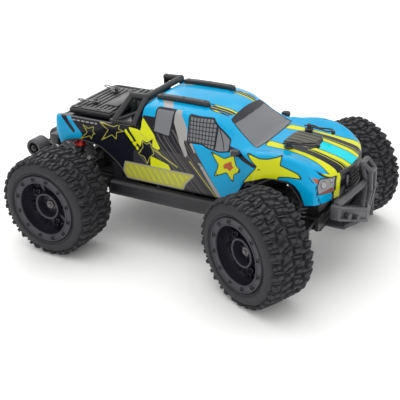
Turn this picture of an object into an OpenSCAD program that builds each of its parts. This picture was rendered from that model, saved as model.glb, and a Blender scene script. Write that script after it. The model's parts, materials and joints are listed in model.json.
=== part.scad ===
// 1:10 scale electric monster truck, at its real size.
// +X points forward, +Y to the left and +Z up; the tyres stand on z = 0.
// The front wheels are stored turned to the right, by steer_rest.

/* [Stance] */
// Distance between the front and rear axles
wheelbase = 284; // [280:1:300]
// Distance from the centreline to the middle of each tyre
wheel_y = 124; // [122:1:128]
// Angle by which the front wheels are stored turned to the right
steer_rest = 23.5; // [0:0.5:25]

/* [Wheels] */
// Outer radius of the tyres, which is also the axle height
tyre_r = 65; // [62:1:66]
// Width of the tyres
tyre_w = 62; // [56:1:64]
// Radius of the rim where the tyre sits on it
rim_r = 44; // [42:1:45]
// Number of beadlock bolts on each rim
bolt_count = 12; // [6:1:16]
// Radius of the circle of beadlock bolts
bolt_circle_r = 39; // [37:1:40]

/* [Suspension] */
// Distance from the centreline to the inner hinge pins
hinge_y = 28; // [27:1:29]
// Height of the lower arms' inner hinge pins
hinge_z = 62; // [60:1:64]
// Sideways length of the arms, links, shafts and tie rods
arm_reach = 66; // [64:1:67]
// Drop of the arms, links, shafts and tie rods over that length
arm_drop = 12; // [8:1:14]
// Diameter of the shock springs
spring_d = 18.8; // [17:0.2:19]

/* [Drive] */
// Tooth size of the spur gear and the motor pinion
gear_module = 0.8; // [0.6:0.1:0.8]
// Teeth on the spur gear
spur_teeth = 54; // [48:2:54]
// Teeth on the motor pinion
pinion_teeth = 16; // [12:2:18]

/* [Body] */
// Thickness of the body shell's skin
skin = 1.6; // [1.2:0.1:2]
// Width of the seat for the battery pack
battery_w = 25; // [20:1:27]

/* [Hidden] */
$fn = 48;

// Ends of the truck, and the shift that centres it on the origin
axle_x = wheelbase / 2;
bumper_front_x = 226;
wheelie_x = -252;
wheelie_z = 82;
wheelie_r = 12.5;
shift_x = (wheelie_r - wheelie_x - bumper_front_x) / 2;

// Fits: a turning shaft's radial clearance, and a pivot left open
run_gap = 0.05;
open_gap = 0.6;
pin_r = 1.5;

// Suspension points of one corner, as [distance from the centreline, height]
arm_angle = atan(arm_drop / arm_reach);
arm_len = norm([arm_reach, arm_drop]);
outer_y = hinge_y + arm_reach;
outer_z = hinge_z - arm_drop;
link_z = 92;
link_out_z = link_z - arm_drop;
kingpin_y = outer_y + 10;
diff_z = tyre_r + arm_drop;
diff_y = kingpin_y - arm_reach;
barrel_r = 4.5;
arm_half = 25;

// Shock absorber: top and bottom pins, and its place beside the axle
shock_x = 16;
shock_top = [40, 124];
shock_low = [76, 58];
shock_len = norm(shock_low - shock_top);
shock_lean = atan((shock_low[0] - shock_top[0]) / (shock_top[1] - shock_low[1]));

// Steering: the knuckle's arm, and where the link and tie rods lie
steer_arm = 26;
steer_in = 4;
tie_x = axle_x - 24;
pad_t = 5;
tie_z = tyre_r + pad_t + 3.5;
tie_in_z = tie_z + arm_drop;
link_shift = steer_arm * sin(steer_rest);
link_half = kingpin_y - steer_in * cos(steer_rest) - arm_reach;

// Gears
spur_x = -48;
spur_r = gear_module * spur_teeth / 2;
pinion_r = gear_module * pinion_teeth / 2;
motor_z = 69;
motor_y = -sqrt(pow(spur_r + pinion_r, 2) - pow(diff_z - motor_z, 2));

// Chassis
pan_z = 47;
floor_t = 3;
tub_half = 48;
tub_front = 118;

// Body: posts, and the bed's floor
front_post = [131, 30];
rear_post = [-145, 23];
bed_z = 149;

// Cross-sections of the body from tail to nose. Each is its x, the inner skin's shift along x,
// and its half outline from the lower edge, past the waist, rail and window, to the roof's middle.
BODY = [
  [-178, 1.6, [[62,114],[66,122],[68,135],[66,153],[60,154],[55,151],[24,149],[0,149]]],
  [-171, 0, [[69,117],[70,124],[70,136],[68,154],[62,155.5],[57,151],[47,149],[0,149]]],
  [-160, 0, [[70,123],[70.5,128],[70,138],[68,154],[62,155.5],[57,151],[47,149],[0,149]]],
  [-142, 0, [[70,127],[70.5,131],[70,139],[68,154],[62,155.5],[57,151],[47,149],[0,149]]],
  [-115, 0, [[69.5,124],[70,129],[70,138],[68,154],[62,155.5],[57,151],[47,149],[0,149]]],
  [-95, 0, [[68,112],[69,121],[69,136],[68,154],[62,155.5],[57,151],[47,149],[0,149]]],
  [-82, 0, [[67,100],[68,112],[68.5,132],[67.5,154],[62,155.5],[57,151],[47,149],[0,149]]],
  [-72, 0, [[66,84],[67,100],[68,130],[67.5,154],[62,155.5],[57,151],[47,149],[0,149]]],
  [-56, 1.6, [[66,84],[67,100],[68,130],[67.5,153],[62,155.5],[57,152],[40,150],[0,149]]],
  [-46, 1.6, [[66,84],[67,100],[68,128],[67,150],[65,154],[57,181],[40,184],[0,185.5]]],
  [-15, 0, [[66,84],[67,100],[68,126],[67,147],[65,151],[57,181],[36,185],[0,187]]],
  [20, 0, [[66,84],[67,100],[68,126],[67,146],[65,149],[57,180],[36,184.5],[0,187]]],
  [45, 0, [[66,84],[67,100],[68,125],[67,145],[65,148],[54,176],[38,181],[0,184.5]]],
  [62, 0, [[66,84],[67,100],[68,125],[67,144],[65,147],[50,168],[39,175.5],[0,180]]],
  [76, 0, [[66,84],[67,100],[68,125],[67,144],[65,147],[52,158],[42,165],[0,170]]],
  [86, 0, [[66,84],[67,100],[68,124],[67,144],[63,148],[56,152],[45,158],[0,163]]],
  [91, 0, [[66,104],[67,108],[68,124],[67,145],[62,149],[55,151],[46,154.5],[0,159]]],
  [98, 0, [[67.5,111],[68,114],[69,125],[67,147],[60,151],[54,150],[48,150],[0,154]]],
  [107, 0, [[72,113],[72.5,117],[72,127],[67,149],[58,151.5],[50,149],[25,149.5],[0,150]]],
  [119, 0, [[72.5,120],[73,124],[72.5,131],[67,152],[57,152],[46,148.5],[25,149],[0,149.5]]],
  [132, 0, [[72.5,126],[73,129],[72.5,134],[67,153.5],[57,152.5],[44,147.5],[25,148.5],[0,149]]],
  [146, 0, [[72.5,126],[73,129],[72.5,134],[66,153],[56,151],[42,146],[25,147],[0,147.5]]],
  [158, 0, [[72.5,116],[73,121],[72.5,131],[65,150],[55,148],[42,144],[25,145.5],[0,146]]],
  [170, 0, [[72.5,102],[73,109],[72.5,125],[64,144],[54,143.5],[42,141.5],[25,143],[0,143.5]]],
  [180, 0, [[71,103],[71.5,110],[71,122],[62,137],[52,139],[42,139],[24,140.5],[0,141]]],
  [189, -1.6, [[57,103],[57.5,110],[57,122],[52,132.5],[45,135],[38,136],[22,138],[0,138.5]]],
  [196, -1.6, [[36,103],[36.5,110],[36,122],[33,129.5],[28,132],[24,133.5],[14,135],[0,135.5]]],
  [201, -1.6, [[20,104],[20,110],[19.5,121],[17,127],[15,130.5],[12,132],[8,133],[0,133.5]]]
];

// ---- helpers ----
module place() { translate([shift_x, 0, 0]) children(); }

// A corner's own frame: x grows away from the truck's middle, y outwards, from the axle's middle
module corner(end, side) {
  place() scale_sign(1, side) translate([end * axle_x, 0, 0]) scale_sign(end, 1) children();
}

module scale_sign(sx, sy) {
  if (sx < 0) mirror([1, 0, 0]) scale_sign(1, sy) children();
  else if (sy < 0) mirror([0, 1, 0]) children();
  else children();
}

// A corner's frame that turns with the front wheels
module steered(side) {
  place() translate([axle_x, side * kingpin_y, 0]) rotate([0, 0, -steer_rest])
    scale_sign(1, side) translate([0, -kingpin_y, 0]) children();
}

// The frame of a wheel, its y along the axle from the middle of the tyre
module wheel_frame(end, side) {
  if (end > 0) steered(side) translate([0, wheel_y, tyre_r]) children();
  else corner(end, side) translate([0, wheel_y, tyre_r]) children();
}

module both() {
  children();
  mirror([0, 1, 0]) children();
}

module x_rod(r, x0, x1, y, z) { translate([x0, y, z]) rotate([0, 90, 0]) cylinder(r = r, h = x1 - x0); }
module y_rod(r, y0, y1, z = 0) { translate([0, y0, z]) rotate([-90, 0, 0]) cylinder(r = r, h = y1 - y0); }
module z_rod(r, x, y, z0, z1) { translate([x, y, z0]) cylinder(r = r, h = z1 - z0); }

// A box between two corners
module box(a, b) { translate(a) cube(b - a); }

// A round bar from point a to point b
module bar(a, b, r) {
  d = b - a;
  translate(a) rotate([0, acos(d[2] / norm(d)), atan2(d[1], d[0])]) cylinder(r = r, h = norm(d));
}

// A flat-sided beam from point a to point b, w wide and h high
module beam(a, b, w, h) {
  d = b - a;
  translate(a) rotate([0, 0, atan2(d[1], d[0])])
    rotate([0, -asin(d[2] / norm(d)), 0]) translate([0, -w / 2, -h / 2]) cube([norm(d), w, h]);
}

module yz_plate(x0, x1, points) {
  translate([x0, 0, 0]) rotate([90, 0, 90]) linear_extrude(x1 - x0) polygon(points);
}

// ---- wheels ----
module tyre(end, side) {
  w = tyre_w / 2;
  color([0.13, 0.13, 0.14]) wheel_frame(end, side) rotate([-90, 0, 0]) rotate_extrude($fn = 96)
    polygon([
      [rim_r + 0.1, -w + 2], [50, -w], [58, -w + 1], [62.5, -w + 5], [tyre_r, -w + 13],
      [tyre_r, w - 13], [62.5, w - 5], [58, w - 1], [50, w], [rim_r + 0.1, w - 2],
      [rim_r + 0.1, w - 6], [50, w - 5], [57, w - 6], [60, w - 14],
      [60, -w + 14], [57, -w + 6], [50, -w + 5], [rim_r + 0.1, -w + 6]
    ]);
}

// Rim with its beadlock ring and bolts, drive hex, nut and stub axle
module rim(end, side) {
  face = tyre_w / 2 - 1.6;
  barrel_in = -tyre_w / 2 + 1;
  cup_y = kingpin_y - wheel_y;
  color([0.09, 0.09, 0.1]) wheel_frame(end, side) {
    difference() {
      union() {
        rotate([-90, 0, 0]) rotate_extrude($fn = 96) polygon([
          [rim_r, barrel_in], [rim_r, face - 3.5], [rim_r - 5, face - 3.5], [rim_r - 5, 11],
          [30, 8], [16.5, 12], [16.5, face - 8.5], [11, face - 8.5], [11, 10], [7.2, 10],
          [7.2, 2], [16, 2], [30, 3.5], [rim_r - 5, 5], [rim_r - 5, barrel_in]
        ]);
        y_rod(7.5, -8, 8);
      }
      y_rod(4, -10, 12);
      for (i = [0:5])
        rotate([0, 60 * i, 0]) translate([27, -1, 0]) rotate([-90, 0, 0]) cylinder(r = 6.5, h = 16);
    }
    rotate([-90, 0, 0]) rotate_extrude($fn = 96) polygon([
      [32, face - 3.4], [rim_r, face - 3.4], [rim_r, face - 1], [rim_r - 1, face], [34, face],
      [32, face - 1]
    ]);
    for (i = [0:bolt_count - 1]) rotate([0, (i + 0.5) * 360 / bolt_count, 0])
      translate([bolt_circle_r, face, 0]) rotate([-90, 0, 0]) cylinder(r = 1.6, h = 1);
    difference() {
      union() {
        y_rod(4, cup_y + 4, 15);
        y_rod(7, cup_y - 4.2, cup_y + 4.6);
      }
      y_rod(5.4, cup_y - 5, cup_y + 3.5);
    }
    translate([0, 10.2, 0]) rotate([-90, 0, 0]) difference() {
      cylinder(r = 6, h = 4.5, $fn = 6);
      translate([0, 0, -1]) cylinder(r = 4, h = 7);
    }
  }
}

// ---- suspension, in a corner's frame ----
module lower_arm(end, side) {
  low_y = 48;
  low_z = 4.65;
  color([0.12, 0.12, 0.13]) corner(end, side)
    translate([0, hinge_y, hinge_z]) rotate([-arm_angle, 0, 0]) {
    difference() {
      union() {
        translate([0, 0, -2.5]) linear_extrude(5) difference() {
          polygon([
            [-arm_half, 0], [arm_half, 0], [arm_half - 1, 55], [18, arm_len], [-18, arm_len],
            [-arm_half + 3, 50]
          ]);
          polygon([[-17, 9], [-2, 9], [-4, 38], [-15, 38]]);
          polygon([[2, 9], [17, 9], [12, 34], [0, 34]]);
        }
        x_rod(barrel_r, -arm_half, arm_half, 0, 0);
        x_rod(barrel_r, -18, 18, arm_len, 0);
        for (x = [shock_x - 7.5, shock_x + 4.5]) {
          x_rod(4, x, x + 3, low_y, low_z);
          box([x, low_y - 4, -2], [x + 3, low_y + 4, low_z]);
        }
      }
      x_rod(pin_r + run_gap, -arm_half - 1, arm_half + 1, 0, 0);
      x_rod(pin_r + run_gap, -30, 30, arm_len, 0);
      box([-9.4, arm_len - 6.5, -6], [9.4, arm_len + 6, 6]);
      box([shock_x - 4.5, low_y - 7, -6], [shock_x + 4.5, low_y + 7, 6]);
    }
    x_rod(pin_r, shock_x - 7, shock_x + 7, low_y, low_z);
  }
}

// Two ears and a pin for a link's end, in a corner's frame
module link_ears(y0, y1, y, z) {
  for (x = [-8, 4.6]) box([x, y0, z - 5], [x + 3.4, y1, z + 5]);
  x_rod(pin_r, -8, 8, y, z);
}

module caster_block(end, side) {
  color([0.14, 0.14, 0.15]) corner(end, side) difference() {
    union() {
      box([-9, outer_y - 4, outer_z - 5], [9, outer_y + 3.5, outer_z + 4]);
      box([-9, outer_y - 4, outer_z - 6], [9, kingpin_y + 6, outer_z - 1.6]);
      x_rod(pin_r, -18, 18, outer_y, outer_z);
      for (x = [-9, 5.6]) box([x, outer_y - 4, outer_z], [x + 3.4, outer_y, link_out_z + 6]);
      link_ears(outer_y - 4, outer_y + 3.5, outer_y, link_out_z);
      box([-9, outer_y - 4, link_out_z + 5.5], [9, kingpin_y + 6, link_out_z + 9.5]);
      for (x = [-8, 4.6]) box([x, outer_y - 4, link_out_z], [x + 3.4, outer_y + 3.5, link_out_z + 6]);
    }
    z_rod(2 + run_gap, 0, kingpin_y, outer_z - 10, outer_z);
    z_rod(2 + run_gap, 0, kingpin_y, link_out_z + 4, link_out_z + 12);
  }
}

module steering_knuckle(side) {
  low_z = outer_z - 1;
  top_z = link_out_z + 2;
  block_y = kingpin_y + 5;
  color([0.16, 0.16, 0.17]) steered(side) {
    difference() {
      union() {
        box([-11, block_y, tyre_r - 12], [11, block_y + 6, tyre_r + 12]);
        z_rod(5.2, 0, kingpin_y, low_z, low_z + 4.5);
        box([-5, kingpin_y, low_z], [5, block_y + 6, low_z + 4.5]);
        z_rod(5.2, 0, kingpin_y, top_z - 5, top_z);
        box([-5, kingpin_y, top_z - 5], [5, block_y + 6, top_z]);
        translate([0, 0, tyre_r + 1]) linear_extrude(pad_t) polygon([
          [-10, block_y + 6], [-10, block_y], [-20, kingpin_y - 6], [-30, kingpin_y - 8],
          [-30, kingpin_y], [-22, kingpin_y + 2]
        ]);
        z_rod(5, -steer_arm, kingpin_y - steer_in, tyre_r + 1, tyre_r + 1 + pad_t);
      }
      translate([0, 0, tyre_r]) y_rod(4 + run_gap, block_y - 1, block_y + 8);
    }
    z_rod(2, 0, kingpin_y, outer_z - 6, low_z + 1);
    z_rod(2, 0, kingpin_y, top_z - 1, link_out_z + 9.5);
  }
}

module hub_carrier(side) {
  block_y = kingpin_y + 5;
  color([0.14, 0.14, 0.15]) corner(-1, side) difference() {
    union() {
      box([-11, block_y, outer_z - 1], [11, block_y + 6, link_out_z + 2]);
      box([-9, outer_y - 4, outer_z - 4], [9, block_y + 6, outer_z + 3]);
      x_rod(pin_r, -18, 18, outer_y, outer_z);
      link_ears(outer_y - 4, block_y + 1, outer_y, link_out_z);
    }
    translate([0, 0, tyre_r]) y_rod(4 + run_gap, block_y - 1, block_y + 8);
  }
}

// Turnbuckle with a pierced end at each side; the outer eye is the open pivot
module upper_link(end, side) {
  color([0.3, 0.3, 0.31]) corner(end, side)
    translate([0, hinge_y, link_z]) rotate([-arm_angle, 0, 0]) difference() {
    union() {
      x_rod(4, -4, 4, 0, 0);
      x_rod(4, -4, 4, arm_len, 0);
      y_rod(2.2, 2, arm_len - 2);
      y_rod(3.4, 3, 14);
      y_rod(3.4, arm_len - 14, arm_len - 3);
    }
    x_rod(pin_r + run_gap, -5, 5, 0, 0);
    x_rod(pin_r + open_gap / 2, -5, 5, arm_len, 0);
  }
}

module shock_frame(end, side) {
  corner(end, side) translate([shock_x, shock_top[0], shock_top[1]]) rotate([shock_lean, 0, 0]) children();
}

module shock_body(end, side) {
  color([0.62, 0.07, 0.06]) shock_frame(end, side) difference() {
    union() {
      x_rod(4.4, -4, 4, 0, 0);
      z_rod(7.4, 0, 0, -12, -4);
      z_rod(6.3, 0, 0, -44, -11);
      z_rod(spring_d / 2 - 0.3, 0, 0, -18, -15.5);
    }
    x_rod(pin_r + run_gap, -5, 5, 0, 0);
    z_rod(4.6, 0, 0, -41, -14);
    z_rod(1.6 + run_gap, 0, 0, -45, -40);
  }
}

module shock_rod(end, side) {
  color([0.7, 0.7, 0.72]) shock_frame(end, side) difference() {
    union() {
      z_rod(1.6, 0, 0, -shock_len + 3, -30);
      z_rod(4.5, 0, 0, -33, -30);
      z_rod(spring_d / 2 - 0.4, 0, 0, -shock_len + 9.2, -shock_len + 11.2);
      z_rod(3.2, 0, 0, -shock_len + 3, -shock_len + 10);
      x_rod(4.2, -3.8, 3.8, 0, -shock_len);
    }
    x_rod(pin_r + open_gap, -5, 5, 0, -shock_len);
  }
}

module spring(end, side) {
  color([0.1, 0.1, 0.1]) shock_frame(end, side) difference() {
    z_rod(spring_d / 2, 0, 0, -shock_len + 11.3, -18.1);
    z_rod(spring_d / 2 - 1.8, 0, 0, -shock_len + 10, -17);
  }
}

module half_shaft(end, side) {
  color([0.5, 0.5, 0.52]) corner(end, side) translate([0, diff_y, diff_z]) rotate([-arm_angle, 0, 0]) {
    y_rod(2.2, 0, arm_len);
    for (y = [0, arm_len]) translate([0, y, 0]) sphere(r = 3.2);
  }
}

// ---- steering ----
module steering_servo() {
  color([0.12, 0.12, 0.13]) place() {
    box([72, 8, pan_z + floor_t], [104, 28, 76]);
    box([66, 9, 66], [110, 27, 69]);
    z_rod(3, 96, 18, 76, 78);
    z_rod(7, 96, 18, 77.5, 79.5);
    box([94, 5, 77.5], [98, 18, 79.5]);
  }
}

module steering_link() {
  color([0.2, 0.2, 0.21]) place() translate([0, link_shift, 0]) {
    box([tie_x - 10, -link_half - 5, tie_in_z - 3], [tie_x - 4.5, link_half + 5, tie_in_z + 3]);
    for (s = [-1, 1]) x_rod(pin_r, tie_x - 6, tie_x + 4.5, s * link_half, tie_in_z);
  }
}

module tie_rod(side) {
  color([0.3, 0.3, 0.31]) place() scale_sign(1, side)
    translate([tie_x, side * link_shift + link_half, tie_in_z]) rotate([-arm_angle, 0, 0]) difference() {
      union() {
        x_rod(4, -4, 4, 0, 0);
        y_rod(2, 2, arm_len - 2);
        y_rod(3.2, 3, 12);
        y_rod(3.2, arm_len - 17, arm_len - 10);
        translate([0, arm_len, 0]) rotate([arm_angle, 0, 0]) cylinder(r = 4.6, h = 3, center = true);
      }
      x_rod(pin_r + run_gap, -5, 5, 0, 0);
    }
}

// ---- chassis ----
module chassis_pan() {
  top = pan_z + floor_t;
  guard_rear = -93;
  guard_front = 76;
  color([0.13, 0.13, 0.14]) place() {
    box([-tub_front, -tub_half, pan_z], [tub_front - 16, tub_half, top]);
    box([tub_front - 17, -26, pan_z], [tub_front + 54, 26, top]);
    box([-tub_front - 54, -26, pan_z], [-tub_front + 1, 26, top]);
    both() {
      box([-tub_front, tub_half - 2, pan_z], [tub_front - 16, tub_half, 60]);
      yz_plate(guard_rear, guard_front, [
        [tub_half - 1, pan_z + 2], [66, 58], [74, 63], [76, 67], [76, 79], [73, 81.5], [67, 81.5],
        [67, 79], [72, 78], [73, 70], [70, 66], [64, 61], [tub_half - 1, 52]
      ]);
      box([guard_rear - 3, 61.4, 57], [guard_rear + 11, 63.8, 103]);
      box([guard_rear - 3, 61.4, 57], [guard_rear + 36, 63.8, 84]);
      for (x = [guard_rear, guard_front - 3]) yz_plate(x, x + 3, [
        [tub_half - 1, 52], [64, 61], [73, 70], [72, 79], [66, 79], [tub_half - 1, 60]
      ]);
    }
  }
}

module gearbox(end) {
  top = pan_z + floor_t;
  color([0.12, 0.12, 0.13]) corner(end, 1) {
    difference() {
      union() {
        box([-18, -20, top], [24, 20, link_z - 1]);
        both() y_rod(7, 18, diff_y + 4, diff_z);
      }
      both() y_rod(5.4, diff_y - 6, diff_y + 5, diff_z);
      x_rod(3, -19, -8, 0, diff_z);
    }
    both() {
      for (x = [-arm_half - 4.4, arm_half + 0.4]) box([x, 16, top], [x + 4, hinge_y + 5, hinge_z + 6]);
      x_rod(pin_r, -arm_half - 4, arm_half + 4, hinge_y, hinge_z);
      link_ears(18, hinge_y + 4, hinge_y, link_z);
    }
    for (x = [-arm_half - 4.4, arm_half + 0.4]) box([x, -17, top], [x + 4, 17, hinge_z + 2]);
  }
}

module shock_tower(end) {
  lug = end > 0 ? [front_post[0] - axle_x - 4, front_post[1]] : [-1, rear_post[1]];
  color([0.12, 0.12, 0.13]) corner(end, 1) {
    both() {
      yz_plate(1, 5, [
        [0, link_z - 1], [16, link_z - 1], [20, 104], [47, 115], [47, 128], [38, 133], [18, 133],
        [8, 120], [0, 116]
      ]);
      x_rod(pin_r, 4, shock_x + 5, shock_top[0], shock_top[1]);
      box([lug[0], lug[1] - 4, 118], [2, lug[1] + 4, 122]);
    }
  }
}

// ---- front and rear protection ----
// Two low beams that meet a flat nose, and a narrow hoop that leans over it
module front_bumper() {
  tip = bumper_front_x;
  color([0.2, 0.2, 0.21]) place() {
    box([172.2, -20, 52], [tip - 14, 20, 56]);
    both() {
      beam([200, 60, 93.5], [tip - 7, 14, 76], 9, 16);
      beam([199, 57, 101], [tip - 12, 13, 121], 5, 6);
      beam([tip - 5, 14, 72], [tip - 4, 9, 126], 6, 6);
      beam([tip - 13, 13, 80], [tip - 13, 10, 136], 6, 6);
      beam([tip - 13, 10, 135.5], [tip - 4, 9, 126.5], 6, 5);
      beam([tip - 18, 17, 54], [tip - 8, 13, 72], 6, 6);
    }
    box([tip - 9, -15, 69], [tip, 15, 80]);
    box([tip - 6.5, -9, 123], [tip - 0.5, 9, 128]);
    box([tip - 16, -10, 133], [tip - 10, 10, 138.5]);
  }
}

module wheelie_bar() {
  root_x = -tub_front - 54;
  color([0.11, 0.11, 0.12]) place() {
    both() {
      beam([root_x - 6, 12, 54], [wheelie_x + 2, 9, wheelie_z], 4, 8);
      beam([root_x - 6, 12, 66], [wheelie_x + 22, 9, wheelie_z + 2], 3, 4);
      translate([wheelie_x, 0, wheelie_z]) y_rod(5, 6, 12.5);
    }
    box([root_x - 32, -13, 63], [root_x - 26, 13, 69]);
    box([root_x - 8, -18, pan_z], [root_x - 0.2, 18, 72]);
    translate([wheelie_x, 0, wheelie_z]) y_rod(2, -38, 38);
  }
}

module wheelie_wheels() {
  w = 22;
  color([0.1, 0.1, 0.11]) place() both() translate([wheelie_x, 14, wheelie_z]) rotate([-90, 0, 0])
    difference() {
      rotate_extrude() polygon([
        [2 + run_gap, 0], [5, 0], [5, 8], [9.5, 8], [9.5, 0], [wheelie_r - 1, 0], [wheelie_r, 1.5],
        [wheelie_r, w - 1.5], [wheelie_r - 1, w], [9.5, w], [9.5, w - 6], [5, w - 6], [5, w],
        [2 + run_gap, w]
      ]);
      for (i = [0:5]) rotate(60 * i) translate([7.2, 0, 7]) cylinder(r = 1.6, h = w - 12);
    }
}

// ---- power ----
// Flat gear outline: each tooth has a root, two flanks and a tip
module gear(teeth, width) {
  r = gear_module * teeth / 2;
  step = 360 / teeth;
  tooth = [[-0.5, -1], [-0.27, -1], [-0.19, 0], [-0.1, 0.8], [0.1, 0.8], [0.19, 0], [0.27, -1]];
  linear_extrude(width) polygon([
    for (i = [0:teeth - 1], p = tooth)
      (r + p[1] * gear_module) * [cos((i + p[0]) * step), sin((i + p[0]) * step)]
  ]);
}

module motor() {
  color([0.45, 0.45, 0.47]) place() difference() {
    union() {
      x_rod(17.5, spur_x + 8, spur_x + 60, motor_y, motor_z);
      x_rod(7, spur_x + 5.5, spur_x + 9, motor_y, motor_z);
      x_rod(6, spur_x + 59, spur_x + 64, motor_y, motor_z);
    }
    x_rod(1.6 + run_gap, spur_x, spur_x + 24, motor_y, motor_z);
  }
}

// The pinion is turned so that one of its gaps faces a tooth of the spur gear
module motor_pinion() {
  mesh = atan2(diff_z - motor_z, -motor_y);
  phase = mesh * (1 + spur_teeth / pinion_teeth) + 180 * (1 / pinion_teeth) + 180;
  color([0.75, 0.72, 0.6]) place() translate([spur_x - 1, motor_y, motor_z]) rotate([90, 0, 90]) {
    rotate(phase) gear(pinion_teeth, 6);
    cylinder(r = 1.6, h = 24);
  }
}

module centre_shaft() {
  mouth = axle_x - 17.5;
  color([0.2, 0.2, 0.22]) place() {
    x_rod(2.5, -mouth - 6, mouth + 6, 0, diff_z);
    translate([spur_x, 0, diff_z]) rotate([90, 0, 90]) gear(spur_teeth, 4);
    x_rod(6, spur_x + 3, spur_x + 7, 0, diff_z);
  }
}

module battery_pack() {
  color([0.15, 0.2, 0.5]) place() box([-34, 11, pan_z + floor_t], [62, 11 + battery_w, 97]);
}

module electronics_box() {
  color([0.1, 0.1, 0.11]) place() {
    box([22, -45, pan_z + floor_t], [64, -12, 78]);
    box([26, -42, 78], [60, -15, 82]);
    box([-108, -42, pan_z + floor_t], [-66, -14, 76]);
  }
}

// ---- body ----
half_n = len(BODY[0][2]);
ring_n = 2 * half_n - 1;

// A full cross-section from the right lower edge over the top to the left lower edge
function full_ring(half) = concat(
  [for (i = [0:half_n - 1]) [-half[i][0], half[i][1]]],
  [for (i = [half_n - 2:-1:0]) half[i]]
);
function inset(half) = [
  for (i = [0:half_n - 1]) [max(half[i][0] - skin, 0), i == 0 ? half[i][1] : half[i][1] - skin]
];
function skin_points(inner) = [
  for (s = BODY, p = full_ring(inner ? inset(s[2]) : s[2])) [s[0] + (inner ? s[1] : 0), p[0], p[1]]
];
function quad(a, b, c, d) = [[a, b, c], [a, c, d]];
function grid_faces(first, flip) = [
  for (s = [0:len(BODY) - 2], i = [0:ring_n - 2])
    let (a = first + s * ring_n + i, b = a + 1, c = b + ring_n, d = a + ring_n)
      each flip ? quad(a, b, c, d) : quad(a, d, c, b)
];

module body_shell() {
  n = len(BODY) * ring_n;
  last = n - ring_n;
  edge = [
    for (s = [0:len(BODY) - 2]) let (a = s * ring_n, b = a + ring_n) each concat(
      quad(a, n + a, n + b, b), quad(a + ring_n - 1, b + ring_n - 1, n + b + ring_n - 1, n + a + ring_n - 1))
  ];
  caps = [
    [for (i = [0:ring_n - 1]) i], [for (i = [ring_n - 1:-1:0]) n + i],
    [for (i = [ring_n - 1:-1:0]) last + i], [for (i = [0:ring_n - 1]) n + last + i]
  ];
  sills = concat(quad(0, ring_n - 1, n + ring_n - 1, n),
    quad(last, n + last, n + last + ring_n - 1, last + ring_n - 1));
  color([0.05, 0.62, 0.85]) place() difference() {
    polyhedron(
      points = concat(skin_points(false), skin_points(true)),
      faces = concat(grid_faces(0, false), grid_faces(n, true), edge, caps, sills)
    );
    for (s = [-1, 1], p = [front_post, rear_post]) z_rod(4.2, p[0], s * p[1], 130, 170);
  }
}

// Roll cage behind the cab: a tube frame on each of the bed's rails, joined by a cross tube
module bed_cage() {
  tube_r = 3.4;
  joint_r = 4.2;
  foot_z = 160.4;
  rear_top = [-75, 40, 186];
  front_top = [-53, 40, 187];
  color([0.08, 0.08, 0.09]) place() {
    both() {
      box([-94, 59, 156], [-55, 66, 159.5]);
      bar([-89, 62, foot_z], rear_top, tube_r);
      bar([-60, 62, foot_z], front_top, tube_r);
      bar(rear_top, front_top, tube_r);
      for (p = [rear_top, front_top]) translate(p) sphere(r = joint_r);
    }
    translate([front_top[0], 0, front_top[2]]) y_rod(tube_r, -front_top[1], front_top[1]);
  }
}

// Ribbed cover that lies in the bed, pierced by the rear body posts, and the tall box under the cage
module bed_box() {
  color([0.1, 0.1, 0.11]) place() difference() {
    union() {
      box([-98, -15, bed_z + 1.5], [-66, 15, 176]);
      box([-172, -47, bed_z + 1.5], [-106, 47, 158.5]);
      for (i = [0:5]) box([-169 + 10.5 * i, -44, 158], [-163 + 10.5 * i, 44, 161]);
    }
    for (s = [-1, 1]) z_rod(4.2, rear_post[0], s * rear_post[1], 140, 170);
  }
}

// Roof skid rails and door mirrors
module body_trim() {
  color([0.08, 0.08, 0.09]) place() both() {
    box([-43, 28, 185.9], [31, 36.5, 191.2]);
    box([77, 66, 147.5], [80, 70, 154]);
    box([76, 66, 152.5], [83, 76, 159]);
  }
}

// Posts that rise through the body, each crossed by a clip
module body_posts() {
  clip_r = 0.8;
  color([0.1, 0.1, 0.11]) place() both() {
    difference() {
      z_rod(2.9, front_post[0], front_post[1], 122, 157);
      x_rod(clip_r + 0.1, front_post[0] - 4, front_post[0] + 4, front_post[1], 153.5);
    }
    x_rod(clip_r, front_post[0] - 8, front_post[0] + 30, front_post[1], 153.5);
    difference() {
      z_rod(2.9, rear_post[0], rear_post[1], 133, 166.5);
      x_rod(clip_r + 0.1, rear_post[0] - 4, rear_post[0] + 4, rear_post[1], 163.5);
    }
    x_rod(clip_r, rear_post[0] - 8, rear_post[0] + 24, rear_post[1], 163.5);
  }
}

// ---- what is drawn ----
tyre(1, 1);  // tyre_fl
tyre(1, -1);  // tyre_fr
tyre(-1, 1);  // tyre_rl
tyre(-1, -1);  // tyre_rr
rim(1, 1);  // rim_fl
rim(1, -1);  // rim_fr
rim(-1, 1);  // rim_rl
rim(-1, -1);  // rim_rr
lower_arm(1, 1);  // lower_arm_fl
lower_arm(1, -1);  // lower_arm_fr
lower_arm(-1, 1);  // lower_arm_rl
lower_arm(-1, -1);  // lower_arm_rr
caster_block(1, 1);  // caster_block_fl
caster_block(1, -1);  // caster_block_fr
steering_knuckle(1);  // steering_knuckle_fl
steering_knuckle(-1);  // steering_knuckle_fr
hub_carrier(1);  // hub_carrier_rl
hub_carrier(-1);  // hub_carrier_rr
upper_link(1, 1);  // upper_link_fl
upper_link(1, -1);  // upper_link_fr
upper_link(-1, 1);  // upper_link_rl
upper_link(-1, -1);  // upper_link_rr
shock_body(1, 1);  // shock_body_fl
shock_body(1, -1);  // shock_body_fr
shock_body(-1, 1);  // shock_body_rl
shock_body(-1, -1);  // shock_body_rr
shock_rod(1, 1);  // shock_rod_fl
shock_rod(1, -1);  // shock_rod_fr
shock_rod(-1, 1);  // shock_rod_rl
shock_rod(-1, -1);  // shock_rod_rr
spring(1, 1);  // spring_fl
spring(1, -1);  // spring_fr
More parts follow.
